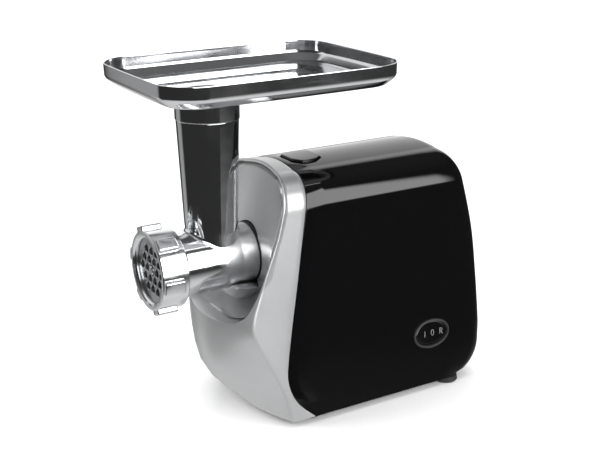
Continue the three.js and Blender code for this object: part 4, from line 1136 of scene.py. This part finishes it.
def makeFrontCasing():
    s = baseSizes
    bottomSteps, sharp = 16, 35
    arch = archOutline(0)
    bottom = [(halfWidthAt(0) * (1 - i / bottomSteps), 0) for i in range(1, 2 * bottomSteps)]
    outline = arch + bottom
    rings = []
    edges = []  # each edge point, the rim point it faces and the round between them
    for x, h in outline:
        away = Vector((x, h - centreH))
        rim = away.normalized() * rimReach(x, h)
        edges.append((away, rim, min((away - rim).length * 0.45, s["edgeRound"])))
    for t in (0, 0.25, 0.5, 0.75, 1):  # rounded edge between side and front
        ring = []
        for (x, h), (away, rim, r) in zip(outline, edges):
            inward = (rim - away).normalized() if (rim - away).length > 1e-6 else Vector((0, 0))
            bend = away + inward * r * t * t
            y = frontAt(bend.x, bend.y + centreH) + r * (1 - t) ** 2
            ring.append((bend.x, y, baseZ + centreH + bend.y))
        rings.append(ring)
    for share in (0.12, 0.26, 0.42, 0.58, 0.74, 0.88, 0.96, 1):  # front face down to the recess
        ring = []
        for away, rim, r in edges:
            start = away + (rim - away).normalized() * r
            spot = start + (rim - start) * share
            lower = s["rimStep"] if share == 1 else 0
            ring.append((spot.x, frontAt(spot.x, spot.y + centreH) + lower, baseZ + centreH + spot.y))
        rings.append(ring)
    grooveShares = (0.992, 0.985, 0.965, 0.955)
    for share in grooveShares + (0.935, 0.91, 0.87, 0.82, 0.76, 0.68, 0.58, 0.45, 0.3, 0.15, 0.0):
        ring = []
        for away, rim, r in edges:
            hole = rim.normalized() * s["socketHole"]
            spot = hole + (rim - hole) * share
            ring.append((spot.x, recessAt(spot.x, spot.y + centreH), baseZ + centreH + spot.y))
        rings.append(ring)
    points, rows = ringRows(rings)
    faces = joinRows(rows)
    sideRows = [rows[0][: len(arch)]]
    for share in (0.03, 0.2, 0.4, 0.6, 0.8, 0.97, 1.0):
        row = []
        for (x, h), (away, rim, r) in zip(arch, edges):
            start = frontAt(x, h) + r
            end = seamAt(h) - s["seamGap"] / 2
            shrink = s["seamLip"] if share == 1 else 1
            row.append(len(points))
            z = baseZ + centreH + (h - centreH) * shrink
            points.append((x * shrink, start + (end - start) * share, z))
        sideRows.append(row)
    faces += joinRows(list(reversed(sideRows)), around=False)
    casing = piece("silver_front", points, faces, sharp)
    solidified(casing, s["wall"])
    smoothByAngle(casing.data, sharp)
    return casing


def makeShell():
    s = baseSizes
    outline = archOutline(0)
    rings = []
    lip = s["seamLip"]
    rings.append([
        (x * lip, seamAt(h) + s["seamGap"] / 2, baseZ + centreH + (h - centreH) * lip) for x, h in outline
    ])
    for share in (0.004, 0.12, 0.25, 0.38, 0.5, 0.62, 0.75, 0.88, 1):
        ring = []
        for x, h in outline:
            first = seamAt(h) + s["seamGap"] / 2
            last = backAt(h) - s["backCorner"]
            ring.append((x, first + (last - first) * share, baseZ + h))
        rings.append(ring)
    cornerSteps = 12
    for i in range(1, cornerSteps + 1):
        a = i / cornerSteps * math.pi / 2
        inset = s["backCorner"] * (1 - math.cos(a))
        ring = []
        for x, h in archOutline(inset):
            ring.append((x, backAt(h) - s["backCorner"] * (1 - math.sin(a)), baseZ + h))
        rings.append(ring)
    points, rows = ringRows(rings)
    faces = joinRows(rows, around=False)
    last = rows[-1]  # the flat back is filled in rows from the left edge to the right
    middle = len(last) // 2
    columns = 20
    grid = []
    for i in range(middle + 1):
        left, right = points[last[i]], points[last[len(last) - 1 - i]]
        row = [last[i]]
        for k in range(1, columns):
            x = left[0] + (right[0] - left[0]) * k / columns
            row.append(len(points))
            points.append((x, left[1], left[2]))
        row.append(last[len(last) - 1 - i])
        grid.append(row if i < middle else [last[middle]] * (columns + 1))
    faces += joinRows(grid, around=False)
    shell = piece("black_shell", points, faces, 35)
    solidified(shell, s["wall"])
    button = prism("button_hole", buttonOutline(buttonSizes["gap"]), topAt(0) - 14, topAt(0) + 8, "z")
    window = seated(prism("oval", switchOval(-switchSizes["bezelLap"]), -8, 8, "x"))
    hole = drilled(glandSizes["hole"], glandSizes["holeFrom"], glandSizes["holeTo"])
    lead = piece("lead", *turned(hole, alongY(*glandSizes["axis"]), 40))
    return cutBy(shell, [button, window, lead], 35)


glandSizes = {
    "axis": (30, 34),  # (z, x)
    "hole": 6.3, "holeFrom": 200, "holeTo": 260, "bore": 3.6, "body": 6.0, "head": 7.6,
}
buttonSizes = {
    "middle": 85.5, "long": 28.0, "wide": 35.0, "thick": 8.0, "proud": 2.0, "round": 0.9, "gap": 0.9,
    "stemWide": 8, "stemFrom": 82.5, "stemTo": 88.5, "stemLow": 197.2, "stemHigh": 208,
}


def buttonOutline(grow):
    s = buttonSizes
    long, wide, y = s["long"] / 2 + grow, s["wide"] / 2 + grow, s["middle"]
    corners = [
        (-wide * 0.55, y - long, 5), (wide * 0.55, y - long, 5), (wide, y - long * 0.45, 7),
        (wide * 0.93, y + long * 0.45, 9), (wide * 0.6, y + long, 6), (-wide * 0.6, y + long, 6),
        (-wide * 0.93, y + long * 0.45, 9), (-wide, y - long * 0.45, 7),
    ]
    return rounded(corners, closed=True, steps=6)


switchSizes = {
    "y": 181.4, "h": 46.9, "long": 39.0, "high": 27.0, "proud": 1.6, "bezelLap": 1.3, "sleeve": -7,
    "rockerLong": 33.0, "rockerHigh": 21.6, "rockerGap": 0.4, "dish": 76.0, "dishDepth": 0.9,
    "rockerRoot": -5.0,  # the root stands in the well of the switch body
    "rockerUnder": -2.6,
}


def switchOval(grow, count=96):
    s = switchSizes
    return superellipse(s["long"] / 2 + grow, s["high"] / 2 + grow, 2.0, count)


def seatOnSide(spot):
    # from a drawing round x in the frame's metres onto the leaning side wall
    s = switchSizes
    tilt = math.atan(baseSizes["lean"])
    leaned = Matrix.Rotation(-tilt, 3, "Y") @ Vector((spot[0], spot[1] - tubeY, spot[2]))
    return Vector(toFrame((halfWidthAt(s["h"]), s["y"], baseZ + s["h"]))) + leaned


def seated(thing):
    for vertex in thing.data.vertices:
        vertex.co = seatOnSide(vertex.co)
    return thing


mount(makeFrontCasing(), "base", "silver_casing", "silver", "front_casing")
mount(makeShell(), "base", "black_shell", "gloss", "main_shell")

print("lock button and switch")


def makeButton():
    s = buttonSizes
    centre = Vector((0, s["middle"]))
    edge = [Vector(point) - centre for point in buttonOutline(0)]

    def ring(share, drop, inset=0):
        spots = [centre + away * (share - inset / away.length) for away in edge]
        return [(spot.x, spot.y, topAt(spot.x) + s["proud"] - drop) for spot in spots]

    rings = [ring(1, s["thick"]), ring(1, s["round"])]
    edgeSteps = 5
    for k in range(1, edgeSteps + 1):
        a = k / edgeSteps * math.pi / 2
        rings.append(ring(1, s["round"] * (1 - math.sin(a)), s["round"] * (1 - math.cos(a))))
    dish, padShare = 0.35, 0.93
    for share in (0.85, 0.7, 0.5, 0.25):
        rings.append(ring(share * padShare, dish * (1 - share**2)))
    points, rows = ringRows(rings)
    faces = joinRows(rows) + [rows[0][::-1], rows[-1]]
    pad = piece("button_pad", points, faces, 40)
    half = s["stemWide"] / 2
    outline = boxed(-half, s["stemFrom"], half, s["stemTo"])
    stem = prism("button_stem", outline, s["stemLow"], s["stemHigh"], "z")
    return together("press_button", [pad, stem], 40)


mount(makeButton(), "lock", "black_shell", "button", "lock_button")


def onSidePiece(name, rings, closed, caps=()):
    points, rows = ringRows(rings)
    faces = joinRows(rows, closed) + [rows[k] for k in caps]
    return seated(piece(name, points, faces, 35))


def makeBezel():
    s = switchSizes
    hole = (s["rockerLong"] - s["long"]) / 2 + s["rockerGap"]
    proud, sleeve, wall = s["proud"], s["sleeve"], 0.9
    profile = rounded([  # (distance out from the oval's edge, height over the side)
        (0, 0.1, 0.2), (-0.3, proud, 1.1), (hole + 0.6, proud + 0.1, 0.6), (hole, proud - 1.0, 0.4),
        (hole, sleeve), (hole + wall, sleeve), (hole + wall, sleeve + 2), (-1.6, 0.1, 0.1),
    ], closed=True, steps=5)
    rings = [[(height, y, z) for y, z in switchOval(grow)] for grow, height in profile]
    return onSidePiece("switch_surround", rings, True)


def rockerHeight(y):
    s = switchSizes
    return s["dish"] - s["dishDepth"] - math.sqrt(s["dish"] ** 2 - y**2)


def makeRocker():
    s = switchSizes
    under = ((0.77, s["rockerRoot"]), (0.79, s["rockerUnder"]), (1.0, s["rockerUnder"]))
    top = ((1.0, 0.9), (0.995, 0.4), (0.97, 0.1), (0.93, 0), (0.8, 0), (0.6, 0), (0.35, 0), (0.12, 0))

    def oval(share):
        return superellipse(s["rockerLong"] / 2 * share, s["rockerHigh"] / 2 * share, 2.0, 96)

    rings = [[(x, y, z) for y, z in oval(share)] for share, x in under]
    rings += [[(rockerHeight(y) - drop, y, z) for y, z in oval(share)] for share, drop in top]
    return onSidePiece("rocker", rings, False, (0, -1))


def markPiece(name, outlines):
    # thin printed shapes that follow the dished rocker
    over, thick = 0.04, 0.06
    parts = []
    for outline, hole in outlines:
        count = len(outline)
        points = [(rockerHeight(y) + over, y, z) for y, z in outline + hole]
        if hole:
            faces = [[i, (i + 1) % count, count + (i + 1) % count, count + i] for i in range(count)]
        else:
            faces = [list(range(count))]
        parts.append(piece(name, points, faces, 60))
    return solidified(seated(together(name, parts, 60)), thick, 0)


mount(makeBezel(), "base", "matte_black", "textured", "switch_bezel")
mount(makeRocker(), "rocker", "black_shell", "button", "switch_rocker")


def ringMark(y, z, halfLong, halfHigh, stroke):
    outer = superellipse(halfLong, halfHigh, 2.0, 32, (y, z))
    return outer, superellipse(halfLong - stroke, halfHigh - stroke, 2.0, 32, (y, z))


tall, line = 2.8, 0.6  # half height and stroke of the marks
marks = markPiece("switch_marks", [
    (boxed(-6.7, -tall, -6.0, tall), []),  # bar for on
    ringMark(2.2, 0, 1.7, 2.9, line),  # ring for off
    (boxed(9.6, -tall, 10.2, tall), []),  # stem, bowl and leg of the letter for reverse
    ringMark(11.0, 1.3, 1.5, 1.5, line),
    ([(10.6, 0.1), (11.3, 0.1), (12.9, -tall), (12.1, -tall)], []),
])
mount(marks, "rocker", "white_nylon", "print")

print("socket, feet and small pieces")


collarSizes = {
    "inner": 26.4, "flare": 12.5, "front": 8, "back": 34,
    "drop": 20,  # from the barrel axis down to the two ends
}


def makeCollar():
    s = collarSizes
    inner, flare, front, back = s["inner"], s["flare"], s["front"], s["back"]
    lip = [
        (inner, front, 0.4), (inner + 1.6, front, 0.7), (inner + 7, front + 3, 4),
        (inner + flare - 1.5, 16, 5), (inner + flare, 23, 4), (inner + flare - 1.5, back - 2.5, 3),
        (inner + 1.3, back, 0.4), (inner, back, 0.3),
    ]
    cradle = piece("collar_cradle", *turned(rounded(lip, closed=True), alongY(), 144, closed=True))
    block = boxed(-60, barrelZ - s["drop"], 60, barrelZ + 60)  # all that stands above the top edge
    cutBy(cradle, [prism("upper", block, 0, 40, "y")], 35)
    return beveled(cradle, 0.5, 45, 2)


mount(makeCollar(), "base", "socket_metal", "collar", "socket_collar")


socketSizes = {
    "front": 31.6, "back": 56.5, "outer": 25.4, "bore": 22.2, "lugRoom": 24.0, "lugWall": 48.5,
    "slotHalf": 5.6, "slotFirst": 52, "toothHalf": 4, "toothLow": 106, "toothHigh": 117,
}


def makeSocket():
    s = socketSizes
    front, back, wall = s["front"], s["back"], s["lugWall"]
    profile = [
        (s["bore"], front, 0.3), (s["outer"], front, 0.4), (s["outer"], back, 0.3), (s["lugRoom"], back),
        (s["lugRoom"], wall), (s["bore"], wall, 0.2),
    ]
    ring = piece("socket", *turned(rounded(profile, closed=True), alongY(), 120, closed=True))
    half, tooth = s["slotHalf"], s["toothHalf"]
    slot = lifted(prism("slot", boxed(-half, 20, half, s["lugRoom"]), 31, wall + past, "y"))
    opening = boxed(-tooth, s["toothLow"], tooth, s["toothHigh"])
    window = prism("tooth_window", opening, wall + 2, back - past, "y")
    return cutBy(ring, [spun(slot, headSizes["lugs"], s["slotFirst"], "socket"), window], 30)


mount(makeSocket(), "base", "matte_black", "socket", "bayonet_socket")


footSizes = {"radius": 11, "hollow": 1.6, "spots": [(50, 62), (58, 203.5)]}  # (half spacing, y) of each pair
baseScrewSizes = {"head": 3.4, "shank": 1.6, "low": 3.7, "top": 26, "crossLong": 2.1, "crossWide": 0.38}


def makeFeet():
    r, hollow = footSizes["radius"], footSizes["hollow"]
    profile = rounded([
        (0, hollow), (4, hollow, 0.5), (5, 0.05, 0.5), (r - 1.4, 0, 1.2), (r, 1.4, 0.8),
        (r - 0.7, baseZ, 0.2), (0, baseZ),
    ])
    foot = piece("rubber_feet", *turned(profile, alongZ(), 48))
    return onSpots(foot, [(x * side, y, 0) for x, y in footSizes["spots"] for side in (-1, 1)], "rubber")


def makeScrews():
    s = baseScrewSizes
    low, r, shank = s["low"], s["head"], s["shank"]
    profile = rounded([
        (0, low), (r - 1, low, 0.5), (r, low + 1.2, 0.3), (r, baseZ, 0.1), (shank, baseZ + 0.1),
        (shank, s["top"]), (0, s["top"]),
    ])
    screw = piece("screw_head", *turned(profile, alongZ(), 28))
    arms = ((s["crossLong"], s["crossWide"]), (s["crossWide"], s["crossLong"]))
    cutBy(screw, [prism("slot", boxed(-a, -b, a, b), low - 0.5, low + 1, "z") for a, b in arms], 30)
    return onSpots(screw, [(x, y, 0) for x in (-57, 57) for y in (84, 176)], "steel")


corners = ("front_left", "front_right", "rear_left", "rear_right")
mount(makeFeet(), "base", "rubber_black", "rubber", *("foot_" + corner for corner in corners))
mount(makeScrews(), "base", "pin_steel", "steel", *("base_screw_" + corner for corner in corners))


def makeGland():
    s = glandSizes
    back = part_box("cord_gland")[1][1] / mm - tubeY / mm
    front = back - 13
    profile = rounded([
        (s["bore"], front, 0.3), (s["body"], front, 0.8), (s["body"], back - 2.6),
        (s["head"], back - 2.4, 0.6), (s["head"] - 0.4, back, 0.7), (s["bore"], back, 0.6),
    ], closed=True)
    return piece("lead_bush", *turned(profile, alongY(*s["axis"]), 48, closed=True))


mount(makeGland(), "base", "rubber_black", "rubber", "cord_gland")

print("inner pieces")
kept = {
    "textured": ["base_plate", "switch_body", "motor_cradle"],
    "sintered": ["latch_plate", "output_gear", "drive_spindle", "idler_pinion", "motor_pinion",
                 "motor_stator"],
    "steel": ["auger_shank", "lock_spring", "motor_shaft"],
    "plate": ["cross_knife"],
    "nylon": ["auger_bush", "cooling_fan"],
    "gearNylon": ["idler_gear"],
    "zinc": ["gearbox_cover", "gearbox_housing", "motor_front_bracket", "motor_rear_bracket"],
    "bronze": ["spindle_bush_front", "spindle_bush_rear", "idler_bush_front", "idler_bush_rear",
               "motor_bush_front", "motor_bush_rear", "commutator"],
    "wire": ["field_coil_upper", "field_coil_lower", "armature"],
    "carbon": ["brush_left", "brush_right"],
}
for finish, names in kept.items():
    for name in names:
        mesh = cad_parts[name].data
        mesh.materials.clear()
        mesh.materials.append(finishes[finish])

print("studio")
studio = {
    "azimuth": 59.44,
    "elevation": 18.16,
    "roll": -0.51,
    "lens": 65.96,
    "camera": (0.77797, -0.46324, 0.44904),
    "floorSize": 14.0,
    "lamps": [
        {"name": "top_box", "place": (-0.5, 0.7, 4.2), "target": (0, 0, 0.1), "size": 4.5, "energy": 205},
        {"name": "front_box", "place": (-0.9, -1.8, 1.0), "target": (0, 0, 0.15), "size": 1.3, "energy": 40},
    ],
    "darkest": 0.03,
    "room": [  # (elevation in degrees, level)
        (-90, 0.6), (-60, 0.75), (-42, 0.68), (-30, 0.36), (-17, 0.04), (35, 0.04), (60, 0.13), (90, 0.17),
    ],
    "boxes": [
        {"azimuth": (64, 129), "elevation": (-3.5, 44), "soft": 2.5, "power": 5.2},
        {"azimuth": (-146, -98), "elevation": (-20, 38), "soft": 6, "power": 1.15},
        {"azimuth": (-80, -26), "elevation": (3, 46), "soft": 6, "power": 0.8},
        {"azimuth": (-48, 104), "elevation": (-34, -4), "soft": 5, "power": -0.6},
        {"azimuth": (-74, -46), "elevation": (-34, 2), "soft": 5, "power": 0.3},
    ],
}


def makeCamera():
    s = studio
    a, e, roll = (math.radians(s[key]) for key in ("azimuth", "elevation", "roll"))
    forward = Vector((-math.sin(a) * math.cos(e), math.cos(a) * math.cos(e), -math.sin(e)))
    right = Vector((math.cos(a), math.sin(a), 0))
    up = right.cross(forward)
    imageRight = right * math.cos(roll) + up * math.sin(roll)
    imageUp = up * math.cos(roll) - right * math.sin(roll)
    pose = Matrix((imageRight, imageUp, -forward)).transposed().to_4x4()
    pose.translation = Vector(s["camera"])
    lens = bpy.data.cameras.new("camera")
    lens.lens = s["lens"]
    lens.sensor_width = 36
    lens.clip_end = 50
    camera = bpy.data.objects.new("camera", lens)
    camera.matrix_world = pose
    bpy.context.scene.collection.objects.link(camera)
    bpy.context.scene.camera = camera


def makeLamp(s):
    light = bpy.data.lights.new(s["name"], "AREA")
    light.shape = "SQUARE"
    light.size = s["size"]
    light.energy = s["energy"]
    lamp = bpy.data.objects.new(s["name"], light)
    lamp.location = s["place"]
    lamp.rotation_euler = (Vector(s["target"]) - Vector(s["place"])).to_track_quat("-Z", "Y").to_euler()
    lamp.visible_glossy = False  # the soft boxes that polished pieces mirror are in the world
    bpy.context.scene.collection.objects.link(lamp)


def makeFloor():
    half = studio["floorSize"] / 2
    mesh = bpy.data.meshes.new("floor")
    mesh.from_pydata([(x, y, 0) for x, y in boxed(-half, -half, half, half)], [], [(0, 1, 2, 3)])
    floor = bpy.data.objects.new("floor", mesh)
    bpy.context.scene.collection.objects.link(floor)
    paper = Finish("pale_paper")
    grain = paper.noise(3, 2)
    mesh.materials.append(paper.done(
        colour=paper.blendColour(grain, (0.93, 0.93, 0.93), (0.95, 0.95, 0.95)),
        rough=0.9,
    ))
    floor.visible_glossy = False  # polished pieces mirror the room below the horizon instead


def makeWorld():
    # a dark room over a bright lower half, with soft boxes and one shaded patch, painted by direction:
    # azimuth from the front towards the right, and elevation, both in degrees
    world = bpy.data.worlds.new("studio")
    world.use_nodes = True
    bpy.context.scene.world = world
    sky = Graph(world.node_tree)
    direction = sky.node("ShaderNodeTexCoord", out=0)
    parts = sky.node("ShaderNodeSeparateXYZ", {}, {0: direction})
    x, y, z = (Value(sky, parts.socket.node.outputs[i]) for i in range(3))
    azimuth = x.math("ARCTAN2", y * -1) * (180 / math.pi)
    elevation = z.math("ARCSINE") * (180 / math.pi)

    def band(angle, low, high, soft):
        rise = sky.rising(angle, low - soft, low + soft)
        return rise * sky.rising(angle, high - soft, high + soft, 1.0, 0.0)

    light = sky.ramp(elevation / 180 + 0.5, *[(e / 180 + 0.5, level) for e, level in studio["room"]])
    for box in studio["boxes"]:
        patch = band(azimuth, *box["azimuth"], box["soft"]) * band(elevation, *box["elevation"], box["soft"])
        light = (light + patch * box["power"]).math("MAXIMUM", studio["darkest"])
    shown = sky.node("ShaderNodeBackground", {}, {"Color": light, "Strength": 1.0})
    sky.node("ShaderNodeOutputWorld", {}, {"Surface": shown})


makeCamera()
makeFloor()
makeWorld()
for lamp in studio["lamps"]:
    makeLamp(lamp)
bpy.context.scene.view_settings.view_transform = "Standard"
